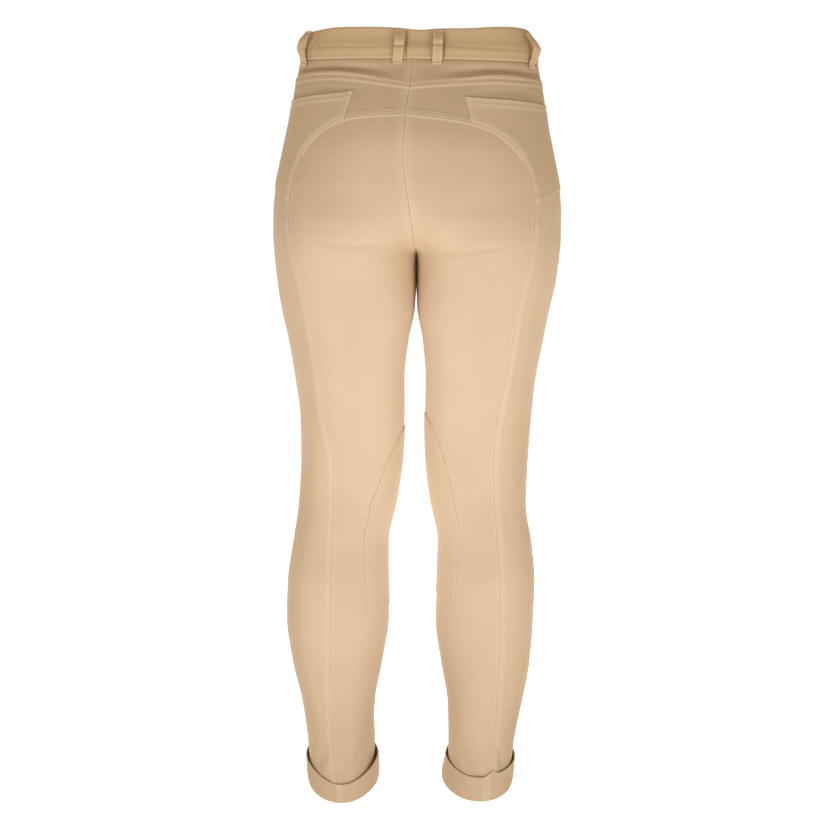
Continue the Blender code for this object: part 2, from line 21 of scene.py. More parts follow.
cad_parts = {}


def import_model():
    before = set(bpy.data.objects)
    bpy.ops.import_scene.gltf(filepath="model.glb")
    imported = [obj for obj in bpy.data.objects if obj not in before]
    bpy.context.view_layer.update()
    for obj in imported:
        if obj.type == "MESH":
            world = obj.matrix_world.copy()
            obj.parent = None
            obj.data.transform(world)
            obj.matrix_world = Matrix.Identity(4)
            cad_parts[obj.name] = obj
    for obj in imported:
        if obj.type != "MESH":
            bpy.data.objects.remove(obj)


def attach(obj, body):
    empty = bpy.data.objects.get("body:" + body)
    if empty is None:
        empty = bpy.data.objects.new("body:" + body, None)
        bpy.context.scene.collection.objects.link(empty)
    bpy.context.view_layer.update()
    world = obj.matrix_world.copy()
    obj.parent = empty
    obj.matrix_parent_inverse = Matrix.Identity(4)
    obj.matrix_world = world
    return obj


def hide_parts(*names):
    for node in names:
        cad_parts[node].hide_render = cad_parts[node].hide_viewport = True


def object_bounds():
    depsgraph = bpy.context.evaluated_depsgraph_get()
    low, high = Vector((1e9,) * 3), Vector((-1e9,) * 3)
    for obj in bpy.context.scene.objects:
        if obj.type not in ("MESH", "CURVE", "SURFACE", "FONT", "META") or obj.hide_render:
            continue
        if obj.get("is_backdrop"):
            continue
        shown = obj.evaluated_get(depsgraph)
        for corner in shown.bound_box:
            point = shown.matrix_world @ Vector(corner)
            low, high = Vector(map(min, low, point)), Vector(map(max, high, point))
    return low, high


LOG = logging.getLogger("jodhpurs")
BODY = "root"
MM = 0.001
Array = np.ndarray
Table = tuple[tuple[float, ...], ...]
Colour = tuple[float, float, float]
Stitches = list[tuple[Array, Array, Array]]
Material = bpy.types.Material
Nodes = bpy.types.NodeTree
Node = bpy.types.Node
Socket = bpy.types.NodeSocket
Thing = bpy.types.Object

# steps of a curve between two of its points
CURVE_STEPS = 24
# points of a line that a piece is measured from
LINE_POINTS = 160
LEG_POINTS = 400


class Side(Enum):
    """The wearer's left or right half of the garment."""

    LEFT = "left"
    RIGHT = "right"

    @property
    def sign(self) -> float:
        """+1 on the left, where X is positive, and -1 on the right."""
        return 1.0 if self is Side.LEFT else -1.0


def each_side(left: object, right: object) -> dict[Side, object]:
    """A dataclass field with one value for each side."""
    return field(default_factory=lambda: {Side.LEFT: left, Side.RIGHT: right})


class Half(Enum):
    """The back or the front of a side, from the outermost point inwards."""

    BACK = "back"
    FRONT = "front"


# ---- curves and numbers


def smooth_steps(t: Array | float) -> Array:
    """Rises from 0 to 1 with no slope at either end."""
    t = np.clip(t, 0.0, 1.0)
    return t * t * (3.0 - 2.0 * t)


def bell(distance: Array, width: float) -> Array:
    """A soft bump of height 1 and the given half width."""
    return np.exp(-((distance / width) ** 2))


def read(table: Table, column: int, level: Array | float) -> Array:
    """Reads one column of a table on a curve that never overshoots its rows.

    Args:
        table: Rows that start with a level, highest first.
        column: The column to read.
        level: One or more levels.

    Returns:
        The column's value at each level.
    """
    rows = np.array(table, float)[::-1]
    x, y = rows[:, 0], rows[:, column]
    step = np.diff(x)
    slope = np.diff(y) / step
    before, after = step[1:] * 2 + step[:-1], step[1:] + step[:-1] * 2
    tangent = np.zeros(len(y))
    tangent[[0, -1]] = slope[[0, -1]]
    for i in np.flatnonzero(slope[:-1] * slope[1:] > 0):
        tangent[i + 1] = (before[i] + after[i]) / (before[i] / slope[i] + after[i] / slope[i + 1])
    i = np.clip(np.searchsorted(x, level) - 1, 0, len(step) - 1)
    t = np.clip((level - x[i]) / step[i], 0.0, 1.0)
    bend = step[i] * (tangent[i] * t * (1 - t) ** 2 + tangent[i + 1] * t * t * (t - 1))
    return y[i] + t * t * (3 - 2 * t) * (y[i + 1] - y[i]) + bend


def spline(points: Array | Table, steps: int = CURVE_STEPS) -> Array:
    """A dense smooth curve through points.

    Args:
        points: The points, as rows.
        steps: Steps between two of them.

    Returns:
        The curve's points.
    """
    p = np.array(points, float)
    p = np.vstack([2 * p[0] - p[1], p, 2 * p[-1] - p[-2]])
    t = np.linspace(0, 1, steps, endpoint=False)[:, None]
    runs = []
    for a, b, c, d in zip(p, p[1:], p[2:], p[3:]):
        bend, twist = 2 * a - 5 * b + 4 * c - d, 3 * b - a - 3 * c + d
        runs.append(b + 0.5 * ((c - a) * t + bend * t**2 + twist * t**3))
    return np.vstack([*runs, p[-2:-1]])


def lengths_along(curve: Array) -> Array:
    """Length run at each point of a curve."""
    return np.concatenate([[0.0], np.cumsum(np.linalg.norm(np.diff(curve, axis=0), axis=1))])


def sample(curve: Array, run: Array, places: Array) -> Array:
    """Points of a curve at places along its run."""
    return np.column_stack([np.interp(places, run, column) for column in curve.T])


def at_shares(curve: Array, shares: Array) -> Array:
    """Points of a curve at shares of its length."""
    run = lengths_along(curve)
    return sample(curve, run, shares * run[-1])


def part_way(start: float, end: float, shares: Array) -> Array:
    """Numbers at shares of the way from one to another."""
    return start + (end - start) * shares


def between(start: Array | tuple, end: Array | tuple, shares: Array) -> Array:
    """Points on the straight line between two points."""
    return np.outer(1 - shares, start) + np.outer(shares, end)


def unit(vectors: Array) -> Array:
    """Vectors of length 1."""
    return vectors / np.maximum(np.linalg.norm(vectors, axis=-1, keepdims=True), 1e-9)


@dataclass(frozen=True)
class Spacing:
    """Mesh spacing over a piece: fine at its seams, where stitching shapes it, and wide between."""

    fine: float = 0.7
    wide: float = 3.6
    growth: float = 1.2

    def shares(self, length: float, start: float | None = None, end: float | None = None) -> Array:
        """Places from 0 to 1, for a run of that length.

        Args:
            length: The run's length.
            start, end: The first and the last step, where they aren't the fine one.

        Returns:
            Shares of the run.
        """
        runs = []
        for first in (start or self.fine, end or self.fine):
            places, step = [0.0], first
            while places[-1] < length / 2:
                places.append(places[-1] + step)
                step = min(step * self.growth, self.wide)
            runs.append(np.array(places) / places[-1] / 2)
        return np.concatenate([runs[0], 1 - runs[1][-2::-1]])


def in_turn(runs: tuple[Array, ...], ends: tuple[float, ...]) -> Array:
    """Joins runs of shares, each squeezed into its own part of the whole.

    Args:
        runs: The runs.
        ends: The share of the whole at which each of them ends.

    Returns:
        Shares of the whole.
    """
    return np.concatenate([part_way(a, b, run) for a, b, run in zip((0.0, *ends), ends, runs)])


def fill(
    left: Array, right: Array, down: Array, shares: Array,
    top: Array | None = None, bottom: Array | None = None,
) -> Array:
    """A net of (across, level) between four edges.

    Args:
        left, right: Edges from top to bottom, one point for each row.
        down: Each row's share of the way down.
        shares: Each column's share of the way to the right.
        top, bottom: Edges from left to right, one point for each column. Straight where not given.

    Returns:
        An array of rows of points.
    """
    top = between(left[0], right[0], shares) if top is None else top
    bottom = between(left[-1], right[-1], shares) if bottom is None else bottom
    u, v = shares[None, :, None], down[:, None, None]
    edges = (1 - u) * left[:, None] + u * right[:, None] + (1 - v) * top[None] + v * bottom[None]
    upper = (1 - u) * top[0] + u * top[-1]
    lower = (1 - u) * bottom[0] + u * bottom[-1]
    return edges - (1 - v) * upper - v * lower


# ---- the garment's form


# shares of the way down a leg, without the crotch's own row
LEG_ROWS = Spacing(wide=4.0, growth=1.12).shares(693.0, 1.2, 1.8)[1:]


@dataclass
class GarmentForm:
    """The surface on which every cloth piece lies, and the seams drawn on it."""

    # level, left, right, inner, lobe, back, front, square
    rings: Table = (
        (26, 148, 148, -148, 0, 98, -97, 2.20),
        (0, 150, 150, -150, 0, 101, -100, 2.20),
        (-22, 154, 154, -154, 0, 106, -105, 2.22),
        (-60, 161.5, 161.5, -161, 0, 114, -110, 2.25),
        (-100, 168, 168, -166, 1, 121, -113, 2.28),
        (-140, 176, 176, -158, 12, 127, -112, 2.30),
        (-180, 183.5, 183.5, -124, 32, 130, -109, 2.30),
        (-212, 186, 186, -72, 54, 130, -106, 2.30),
        (-240, 186, 186, -27, 74, 126, -102, 2.28),
        (-264, 184.5, 184.5, 1, 87, 119, -99, 2.25),
        (-300, 180.5, 180.5, 1, 90, 109, -95, 2.22),
        (-330, 176, 174, 1.5, 90, 102, -92, 2.20),
        (-377, 165.5, 165.5, 9.5, 88, 91, -88, 2.18),
        (-429, 156.5, 156.5, 14, 86, 79, -83, 2.15),
        (-482, 149.5, 152, 13.5, 84, 68, -78, 2.12),
        (-534, 148.5, 149, 15.5, 82, 60, -73, 2.10),
        (-587, 150.5, 147.5, 22.5, 87, 56, -66, 2.10),
        (-640, 157.5, 155.5, 33, 95, 59, -59, 2.08),
        (-694, 164, 160, 32, 98, 66, -52, 2.06),
        (-740, 165, 159, 30.5, 98, 66, -50, 2.05),
        (-800, 157, 155, 39, 98, 60, -49, 2.05),
        (-854, 144, 146, 48, 96, 52, -48, 2.05),
        (-907, 136, 136.5, 50, 93, 46, -49, 2.05),
        (-957, 132, 132, 49, 91, 44, -52, 2.05),
        (-1000, 131, 131, 49, 90, 43, -55, 2.05),
    )
    # level, shift of the centre back seam off the centre plane
    centre_seam: Table = (
        (60, 4), (19, 5), (-28, 8), (-55, 12), (-88, 16), (-133, 19), (-182, 14), (-220, 8),
        (-246, 4), (-264, 1), (-300, 0),
    )
    pull_width: float = 120.0
    pull_depth: float = 60.0
    band_top: float = 19.0
    band_foot: float = -19.0
    crotch: float = -264.0
    hem: float = -957.0
    hem_slope: float = 0.45
    hem_pivot: float = -4.0
    hem_dip_from: float = -840.0
    hem_lift: float = 2.4
    yoke_centre: float = -55.0
    yoke_side: float = -48.0
    seat_centre: float = -89.0
    seat_corner: float = -140.0
    columns: int = 480
    angles: int = 360
    levels: Array = field(init=False)
    grids: dict[Side, Array] = field(init=False)
    outermost: dict[Side, Array] = field(init=False)

    def __post_init__(self) -> None:
        """Works out a ring for every millimetre of height."""
        self.levels = np.arange(self.rings[0][0], self.rings[-1][0] - 1, -1.0)
        sizes = [read(self.rings, column, self.levels) for column in range(1, len(self.rings[0]))]
        left, right, *shared = sizes
        self.grids, self.outermost = {}, {}
        for side, reach in ((Side.LEFT, left), (Side.RIGHT, right)):
            rings = [self._half_ring(*row) for row in zip(reach, *shared)]
            self.grids[side] = np.array([points for points, _ in rings])
            self.outermost[side] = np.array([share for _, share in rings])

    def _half_ring(
        self, reach: float, inner: float, lobe: float, back: float, front: float, square: float
    ) -> tuple[Array, float]:
        """The part of a ring on one side of the centre plane.

        Args:
            reach: Distance of the outermost point from the centre.
            inner: Distance of the innermost point, past the centre plane where the halves join.
            lobe: Distance at which the half is deepest.
            back, front: Depth of the back and of the front.
            square: 2 for an ellipse and more for a squarer ring.

        Returns:
            Evenly spaced points from the back end to the front end, and the outermost one's share.
        """
        middle = (back + front) / 2
        angle = np.linspace(math.pi, -math.pi, 2 * self.angles + 1)
        out, up = np.cos(angle), np.sin(angle)
        wide = np.where(out > 0, reach - lobe, lobe - inner)
        deep = np.where(up > 0, back - middle, middle - front)
        x = lobe + wide * np.sign(out) * np.abs(out) ** (2 / square)
        y = middle + deep * np.sign(up) * np.abs(up) ** (2 / square)
        kept = np.flatnonzero(x >= 0)
        first, last = kept[0], kept[-1]
        ends = []
        for outside, inside in ((first - 1, first), (last + 1, last)):
            if 0 <= outside < len(x):
                share = x[outside] / (x[outside] - x[inside])
                ends.append([[0.0, y[outside] + share * (y[inside] - y[outside])]])
            else:
                ends.append(np.zeros((0, 2)))
        points = np.vstack([ends[0], np.column_stack([x, y])[first : last + 1], ends[1]])
        run = lengths_along(points)
        even = at_shares(points, np.linspace(0, 1, self.columns + 1))
        return even, run[int(np.argmax(points[:, 0]))] / run[-1]

    def _pull(self, x: Array, y: Array, level: Array) -> Array:
        """How far the wandering centre back seam moves the cloth sideways."""
        near = np.maximum(0.0, 1.0 - (x / self.pull_width) ** 2) ** 2
        return read(self.centre_seam, 1, level) * near * smooth_steps(y / self.pull_depth)

    def place(self, side: Side, across: Array, level: Array) -> Array:
        """Points of the outer surface.

        Args:
            side: Left or right half.
            across: Share of the way round. Past either end it runs on round the leg.
            level: Height.

        Returns:
            Points in millimetres.
        """
        across, level = np.broadcast_arrays(np.asarray(across, float), np.asarray(level, float))
        around = np.where(across < 0, across + 1, np.where(across > 1, across - 1, across))
        rows = np.clip(self.levels[0] - level, 0, len(self.levels) - 1.001)
        columns = np.clip(around * self.columns, 0, self.columns - 0.001)
        i, j = rows.astype(int), columns.astype(int)
        v, u = (rows - i)[..., None], (columns - j)[..., None]
        grid = self.grids[side]
        upper = grid[i, j] * (1 - u) + grid[i, j + 1] * u
        lower = grid[i + 1, j] * (1 - u) + grid[i + 1, j + 1] * u
        x, y = np.moveaxis(upper * (1 - v) + lower * v, -1, 0)
        x = x * side.sign
        dip = smooth_steps((self.hem_dip_from - level) / (self.hem_dip_from - self.hem))
        z = level - dip * self.hem_slope * (y - self.hem_pivot)
        return np.stack([x + self._pull(x, y, level), y, z], axis=-1)

    def outward(self, side: Side, across: Array, level: Array) -> Array:
        """The surface's outward normals.

        Args:
            side: Left or right half.
            across, level: Places, as for place.

        Returns:
            Unit normals.
        """
        step_across, step_level = 0.004, 1.5
        inside = (across >= 0) & (across <= 1)
        low = np.where(inside, np.maximum(across - step_across, 0.0), across - step_across)
        high = np.where(inside, np.minimum(across + step_across, 1.0), across + step_across)
        along = self.place(side, high, level) - self.place(side, low, level)
        up = self.place(side, across, level + step_level) - self.place(side, across, level - step_level)
        return unit(np.cross(up, along) * side.sign)

    def side_seam(self, side: Side, level: Array | float) -> Array:
        """Across at the outermost point."""
        return np.interp(-np.asarray(level, float), -self.levels, self.outermost[side])

    def find_across(self, side: Side, half: Half, distance: float, level: float) -> float:
        """Across of a point at a distance from the centre plane.

        Args:
            side, half: Which quarter of the garment it is on.
            distance: How far it is from the centre plane.
            level: Its height.

        Returns:
            Its share of the way round.
        """
        share = np.linspace(0, 1, self.columns + 1)
        x = self.place(side, share, level)[:, 0] * side.sign
        outermost = int(np.argmax(x))
        chosen = slice(0, outermost + 1) if half is Half.BACK else slice(None, outermost - 1, -1)
        return float(np.interp(distance, x[chosen], share[chosen]))

    def on(self, side: Side, half: Half, points: Array | Table) -> Array:
        """(distance from the centre, level) points as (across, level)."""
        return np.array([(self.find_across(side, half, d, z), z) for d, z in points])

    def down_leg(self, upper: Array) -> Array:
        """Levels of a panel's rows: those above the leg, and the leg's down to the hem's turn."""
        return np.concatenate([upper, part_way(self.crotch, self.hem + self.hem_lift, LEG_ROWS)])


@dataclass
class SeamPlan:
    """Where the panels are cut: each seam as a list of (across, level) points."""

    form: GarmentForm
    # distance from the centre, level
    seat_seams: dict[Side, Table] = each_side(
        (
            (16, -89), (60, -91), (95, -97), (124, -113), (146, -140), (159, -180), (162, -222),
            (156, -265), (142, -312), (129, -390), (117, -470), (104, -535), (104, -620), (105, -760),
            (103, -870), (92, -957),
        ),
        (
            (-16, -89), (30, -94), (66, -100), (100, -113), (130, -140), (144, -176), (148, -214),
            (144, -262), (130, -325), (117, -415), (103, -495), (103, -565), (109, -645), (113, -735),
            (110, -867), (99, -957),
        ),
    )
    yoke_seams: dict[Side, Table] = each_side(
        ((12, -55), (51, -50), (88, -45), (125, -43.5)), ((-12, -55), (56, -49), (95, -46.5), (125, -47))
    )

    def _seat_curve(self, side: Side) -> tuple[Array, int]:
        """The whole seat seam as a dense curve, and the index of its corner."""
        points = self.seat_seams[side]
        corner = [level for _, level in points].index(self.form.seat_corner)
        return spline(points), corner * CURVE_STEPS

    def seat_upper(self, side: Side, shares: Array) -> Array:
        """The seat seam from the centre back to its corner.

        Args:
            side: Left or right half.
            shares: Shares of its length.

        Returns:
            Points as (across, level), as from the other seams.
        """
        curve, corner = self._seat_curve(side)
        points = self.form.on(side, Half.BACK, at_shares(curve[: corner + 1], shares))
        points[0] = (0.0, self.form.seat_centre)
        return points

    def seat_lower(self, side: Side, levels: Array) -> Array:
        """The back leg seam at levels from the corner down."""
        curve, corner = self._seat_curve(side)
        distance = np.interp(-levels, -curve[corner:, 1], curve[corner:, 0])
        return self.form.on(side, Half.BACK, np.column_stack([distance, levels]))

    def side_point(self, side: Side, level: float) -> Array:
        """The side seam's point at a level."""
        return np.array([float(self.form.side_seam(side, level)), level])

    def yoke(self, side: Side, shares: Array) -> Array:
        """The yoke seam from the centre back to the side seam.

        Args:
            side: Left or right half.
            shares: Shares of its width.

        Returns:
            Points of the seam.
        """
        end = self.side_point(side, self.form.yoke_side)
        curve = spline(np.vstack([self.form.on(side, Half.BACK, self.yoke_seams[side]), end]))
        across = shares * end[0]
        points = np.column_stack([across, np.interp(across, curve[:, 0], curve[:, 1])])
        points[0] = (0.0, self.form.yoke_centre)
        return points

    def side(self, side: Side, levels: Array) -> Array:
        """The side seam at levels."""
        return np.column_stack([self.form.side_seam(side, levels), levels])

    def centre(self, across: float, start: float, shares: Array) -> Array:
        """The centre back (across 0) or centre front (across 1) seam, down to the crotch.

        Args:
            across: 0 or 1.
            start: The level at which it starts.
            shares: Shares of its length.

        Returns:
            Points of the seam.
        """
        crotch = self.form.crotch
        fine = part_way(crotch, start, np.linspace(1, 0, 180) ** 2)
        path = self.form.place(Side.LEFT, across, fine)[:, 1:]
        run = lengths_along(path)
        levels = np.interp(shares * run[-1], run, fine)
        levels[-1] = crotch
        return np.column_stack([np.full(len(levels), across), levels])


# ---- what shapes the cloth


@dataclass(frozen=True)
class SeamRelief:
    """How the cloth lies beside a seam, as a height over the form at each distance from it."""

    roll: float = 0.18
    roll_width: float = 0.7
    # distance, width, height
    humps: Table = ()
    pad: float = 0.0
    pad_width: float = 8.0
    pad_edge: float = 1.4
    dents: tuple[float, ...] = ()
    dent: float = 0.22
    dent_width: float = 0.6
    # ridge height at which the painted highlight is full
    highlight_full_at: float = 0.7

    def _ridges(self, distance: Array) -> Array:
        """Height of the humps alone."""
        ridges = (high * bell(distance - place, wide) for place, wide, high in self.humps)
        return sum(ridges, np.zeros(len(distance)))

    def painted_light(self, distance: Array) -> Array:
        """How much painted highlight the ridges get, from 0 to 1."""
        return np.clip(self._ridges(distance) / self.highlight_full_at, 0.0, 1.0)

    def height(self, distance: Array) -> Array:
        """Height over the form, in millimetres."""
        lift = self._ridges(distance) - self.roll * bell(distance, self.roll_width)
        lift += self.pad * (1 - smooth_steps((distance - self.pad_width) / (2 * self.pad_edge) + 0.5))
        for place in self.dents:
            lift -= self.dent * bell(distance - place, self.dent_width)
        return lift


LAPPED = SeamRelief(
    roll=0.1, roll_width=0.4, humps=((0.6, 0.7, 0.15),), pad=0.6, pad_width=7.4, dents=(2.2, 6.4),
    dent=0.3,
)
LAPPED_YOKE = SeamRelief(
    roll=0.1, humps=((0.9, 1.0, 0.6), (6.4, 1.3, 0.75)), pad=0.6, pad_width=8.6, dents=(2.7, 8.6),
    dent=0.55,
)
UNDER = SeamRelief(roll=0.1, roll_width=0.4, humps=((0.6, 1.4, 0.75),))
UNDER_LEG = SeamRelief(roll=0.15, humps=((1.0, 1.2, 0.35),))
CENTRE = SeamRelief(
    roll=0.2, humps=((0.9, 0.7, 0.25), (3.4, 1.3, 0.3), (8.4, 2.0, 0.2)), pad=0.55, pad_width=6.6,
    pad_edge=0.9, dents=(1.6, 5.4), dent=0.45,
)
UNDER_CENTRE = SeamRelief(humps=((1.8, 1.5, 0.5), (7.5, 3.0, 0.2)))
UNDER_BAND = SeamRelief(roll=0.3, humps=((7.0, 3.0, 0.3),))
PRESSED = SeamRelief(
    roll=0.3, humps=((4.5, 3.0, 0.2), (8.4, 1.0, 0.35)), pad=0.6, pad_width=9.2, pad_edge=0.6,
)
PLAIN = SeamRelief(roll=0.3, humps=((2.0, 1.5, 0.12),))
PATCH = SeamRelief(
    roll=0.5, roll_width=0.8, humps=((0.9, 0.7, 0.25), (4.8, 1.5, 0.45)), dents=(2.3, 7.8), dent=0.55,
    dent_width=0.7,
)
KNEE = SeamRelief(
    roll=0.4, roll_width=0.8, humps=((0.9, 0.6, 0.14), (5.2, 1.2, 0.2)), dents=(2.6, 8.4), dent=0.28,
    dent_width=0.7,
)
CAUGHT = SeamRelief(roll=1.0, roll_width=6.0)
HIDDEN_FOOT = SeamRelief(roll=0.6, roll_width=2.0)
POCKET_TOP = SeamRelief(
    roll=0.3, humps=((2.4, 1.5, 0.5), (8.6, 2.6, 0.6)), dents=(5.6,), dent=0.8, dent_width=1.1,
)
BAND_TOP = SeamRelief(roll=0.9, roll_width=1.3)
BAND_FOOT = SeamRelief(
    roll=0.7, roll_width=0.9, humps=((2.8, 1.2, 0.35), (13.0, 8.0, 2.6)), dents=(1.9,), dent=0.25,
)
LOOP_EDGE = SeamRelief(roll=0.35, roll_width=0.7, dents=(1.7,), dent_width=0.5)
CUFF_SEAM = SeamRelief(roll=0.8, roll_width=0.9, humps=((0.0, 3.6, 0.55),))
# level at which the seat seam's two rows of stitches end
STITCHED_TO = -230.0


@dataclass(frozen=True)
class Crease:
    """A soft trough (negative depth) or ridge along a line on the cloth."""

    side: Side
    half: Half
    points: Table
    width: float
    depth: float


def mirrored(half: Half, points: Table, width: float, depth: float) -> tuple[Crease, Crease]:
    """The same crease on both sides, the right one a little longer, wider and lower.

    Args:
        half: The back or the front.
        points, width, depth: The left crease.

    Returns:
        The left crease and the right one.
    """
    shifted = tuple((distance * 1.04 + 1, level - 3) for distance, level in points)
    left = Crease(Side.LEFT, half, points, width, depth)
    return left, Crease(Side.RIGHT, half, shifted, width * 1.15, depth * 0.85)


def near_line(points: Array, line: Array, reach: float) -> tuple[Array, Array]:
    """Distances from points to a line, where they are within reach of it.

    Args:
        points: Points as rows.
        line: The line's points.
        reach: Further off than this, the distance is infinite.

    Returns:
        Each point's distance, and the share of the line's length at the nearest place.
    """
    away, share = np.full(len(points), np.inf), np.zeros(len(points))
    run = lengths_along(line)
    for start in range(0, len(line) - 1, CURVE_STEPS):
        part = line[start : start + CURVE_STEPS + 1]
        box = (points > part.min(axis=0) - reach) & (points < part.max(axis=0) + reach)
        near = np.flatnonzero(box.all(axis=1))
        if not len(near):
            continue
        step = np.diff(part, axis=0)
        offset = points[near, None] - part[None, :-1]
        t = np.clip((offset * step).sum(axis=2) / np.maximum((step * step).sum(axis=1), 1e-9), 0, 1)
        gaps = np.linalg.norm(offset - t[..., None] * step, axis=2)
        best = gaps.argmin(axis=1)
        closer = np.flatnonzero(gaps.min(axis=1) < away[near])
        chosen, best = near[closer], best[closer]
        away[chosen] = gaps[closer, best]
        before, after = run[start + best], run[start + best + 1]
        share[chosen] = (before + t[closer, best] * (after - before)) / max(run[-1], 1e-9)
    away[away > reach] = np.inf
    return away, share


@dataclass
class CreaseField:
    """All the creases, and the slight unevenness of worn cloth."""

    form: GarmentForm
    creases: tuple[Crease, ...]
    steps: int = 14
    reach: float = 2.6
    unevenness: float = 0.22
    # how far the fullness of the seat stands out below the yoke, and where
    fullness: float = 6.5
    fullest: float = -112.0
    # up, down and across
    fullness_spread: tuple[float, float, float] = (48.0, 36.0, 120.0)
    lines: list[Array] = field(init=False)

    def __post_init__(self) -> None:
        """Lays each crease on the form."""
        self.lines = []
        for crease in self.creases:
            places = self.form.on(crease.side, crease.half, spline(crease.points, self.steps))
            self.lines.append(self.form.place(crease.side, places[:, 0], places[:, 1]))

    def height(self, points: Array) -> Array:
        """Height that the creases add at points of the form. Each fades out at its ends.

        Args:
            points: The points, in an array of any shape whose last axis is x, y and z.

        Returns:
            Their heights.
        """
        flat = points.reshape(-1, 3)
        x, y, z = flat.T
        total = self.unevenness * (
            np.sin(x / 23 + z / 41 + 1.3) * np.sin(z / 37 - y / 29)
            + 0.6 * np.sin(x / 13 - z / 19 + 0.4) * np.sin(z / 61 + y / 17 + 2.1)
        )
        up, down, wide = self.fullness_spread
        full = bell(z - self.fullest, np.where(z > self.fullest, up, down)) * bell(x, wide)
        total += self.fullness * full * smooth_steps((y - 20) / 50)
        for line, crease in zip(self.lines, self.creases):
            away, share = near_line(flat, line, self.reach * crease.width)
            total += crease.depth * np.sin(math.pi * share) ** 0.7 * bell(away, crease.width)
        return total.reshape(points.shape[:-1])


def worn_creases() -> tuple[Crease, ...]:
    """The folds of worn cloth: those of the back, and those that both sides have."""
    left, right = Side.LEFT, Side.RIGHT
    back = (
        (left, ((30, -38), (60, -31), (90, -28), (120, -27), (156, -29)), 4.2, -3.6),
        (left, ((34, -46), (84, -37), (120, -35), (154, -38)), 3.0, 1.9),
        (left, ((60, -60), (100, -57), (130, -57), (162, -63)), 5.5, -1.7),
        (right, ((20, -38), (60, -32), (100, -28.5), (156, -32)), 4.8, -3.7),
        (right, ((34, -46), (80, -39), (116, -37), (154, -43)), 3.0, 2.0),
        (right, ((64, -62), (100, -59), (132, -59), (162, -67)), 6.0, -1.9),
        (left, ((16, -2), (60, -4), (110, -3), (148, -4)), 2.4, -0.9),
        (right, ((20, -1), (60, -3), (105, -4), (148, -3)), 2.6, -0.9),
        (right, ((13, 22), (11, 4), (12, -24)), 4.0, -1.0),
        (left, ((17, 18), (17.4, 0), (17.2, -22)), 1.3, -2.8),
        (right, ((30, 18), (29.6, 0), (29.8, -22)), 1.3, -2.8),
        (left, ((131, 18), (133, 6), (137.5, -5), (138.5, -22)), 1.9, -3.4),
        (right, ((142, 19), (144, 0), (141, -22)), 2.3, -3.8),
        (left, ((0, -248), (0, -284), (0, -322)), 14.0, 0.9),
        (right, ((0, -248), (0, -284), (0, -322)), 14.0, 0.9),
        (left, ((34, -247), (58, -251), (80, -253), (104, -251), (130, -242)), 3.0, -0.8),
        (left, ((42, -256), (80, -259), (118, -253)), 4.5, 0.35),
        (right, ((4, -253), (31, -259), (59, -260), (92, -255), (130, -245)), 3.0, -0.8),
        (right, ((16, -263), (56, -267), (112, -258)), 4.5, 0.35),
        (left, ((62, -904), (84, -919), (108, -926)), 6.0, -3.0),
        (left, ((56, -876), (74, -900), (80, -932)), 7.0, 2.4),
        (left, ((104, -896), (116, -910), (122, -928)), 7.0, -2.6),
        (right, ((106, -884), (118, -906), (120, -930)), 6.0, -2.6),
        (right, ((58, -900), (76, -915), (94, -930)), 5.0, -2.7),
        (right, ((70, -898), (88, -911), (104, -926)), 5.0, 1.9),
        (left, ((48, -878), (47, -908), (48, -938)), 11.0, 2.6),
    )
    both_sides = (
        (Half.BACK, ((60, -556), (92, -564), (126, -558)), 9.0, -0.6),
        (Half.BACK, ((56, -586), (88, -578), (120, -584)), 8.0, -0.5),
        (Half.FRONT, ((10, -190), (40, -204), (76, -202), (112, -186)), 6.0, -2.0),
        (Half.FRONT, ((8, -203), (44, -218), (90, -214)), 5.0, 1.2),
        (Half.FRONT, ((6, -222), (36, -238), (72, -240), (118, -226)), 6.0, -2.3),
        (Half.FRONT, ((12, -244), (44, -260), (92, -262)), 6.0, -1.5),
        (Half.FRONT, ((118, -150), (136, -196), (142, -250)), 9.0, -0.9),
        (Half.BACK, ((168, -262), (172, -292), (166, -318)), 9.0, -0.8),
        (Half.BACK, ((150, -600), (138, -622), (118, -630)), 8.0, -0.7),
        (Half.FRONT, ((60, -30), (100, -27), (146, -31)), 5.0, -1.6),
        (Half.FRONT, ((52, -40), (100, -37), (150, -42)), 4.0, 0.8),
        (Half.FRONT, ((30, -3), (80, -4), (138, -3)), 3.0, -0.7),
        (Half.FRONT, ((50, -548), (88, -556), (130, -548)), 8.0, -1.5),
        (Half.FRONT, ((64, -574), (96, -580), (136, -568)), 8.0, -1.1),
        (Half.FRONT, ((44, -526), (70, -534), (104, -530)), 7.0, 0.8),
        (Half.FRONT, ((62, -896), (92, -888), (124, -896)), 6.5, -2.2),
        (Half.FRONT, ((66, -916), (94, -910), (126, -918)), 5.5, 1.4),
        (Half.FRONT, ((60, -934), (88, -930), (118, -938)), 6.0, -1.1),
    )
    creases = [Crease(side, Half.BACK, *fold) for side, *fold in back]
    for fold in both_sides:
        creases += mirrored(*fold)
    return tuple(creases)


# ---- meshes


class Edge(Enum):
    """An edge of a net."""

    TOP = "top"
    BOTTOM = "bottom"
    LEFT = "left"
    RIGHT = "right"

    def first(self, net: Array) -> Array:
        """A net turned so that its first axis runs along this edge and its second away from it.

        Args:
            net: The net, rows first.

        Returns:
            A view of it.
        """
        if self is Edge.LEFT:
            return net
        if self is Edge.RIGHT:
            return net[:, ::-1]
        turned = net.swapaxes(0, 1)
        return turned if self is Edge.TOP else turned[:, ::-1]


def away_from_edge(net: Array) -> Array:
    """Unit steps along the cloth, square to the net's first column and away from it."""
    run = unit(np.gradient(net[:, 0], axis=0))
    step = net[:, 1] - net[:, 0]
    return unit(step - run * (step * run).sum(axis=1, keepdims=True))


def put(name: str, data: bpy.types.ID) -> Thing:
    """A new object in the scene."""
    thing = bpy.data.objects.new(name, data)
    bpy.context.scene.collection.objects.link(thing)
    return thing


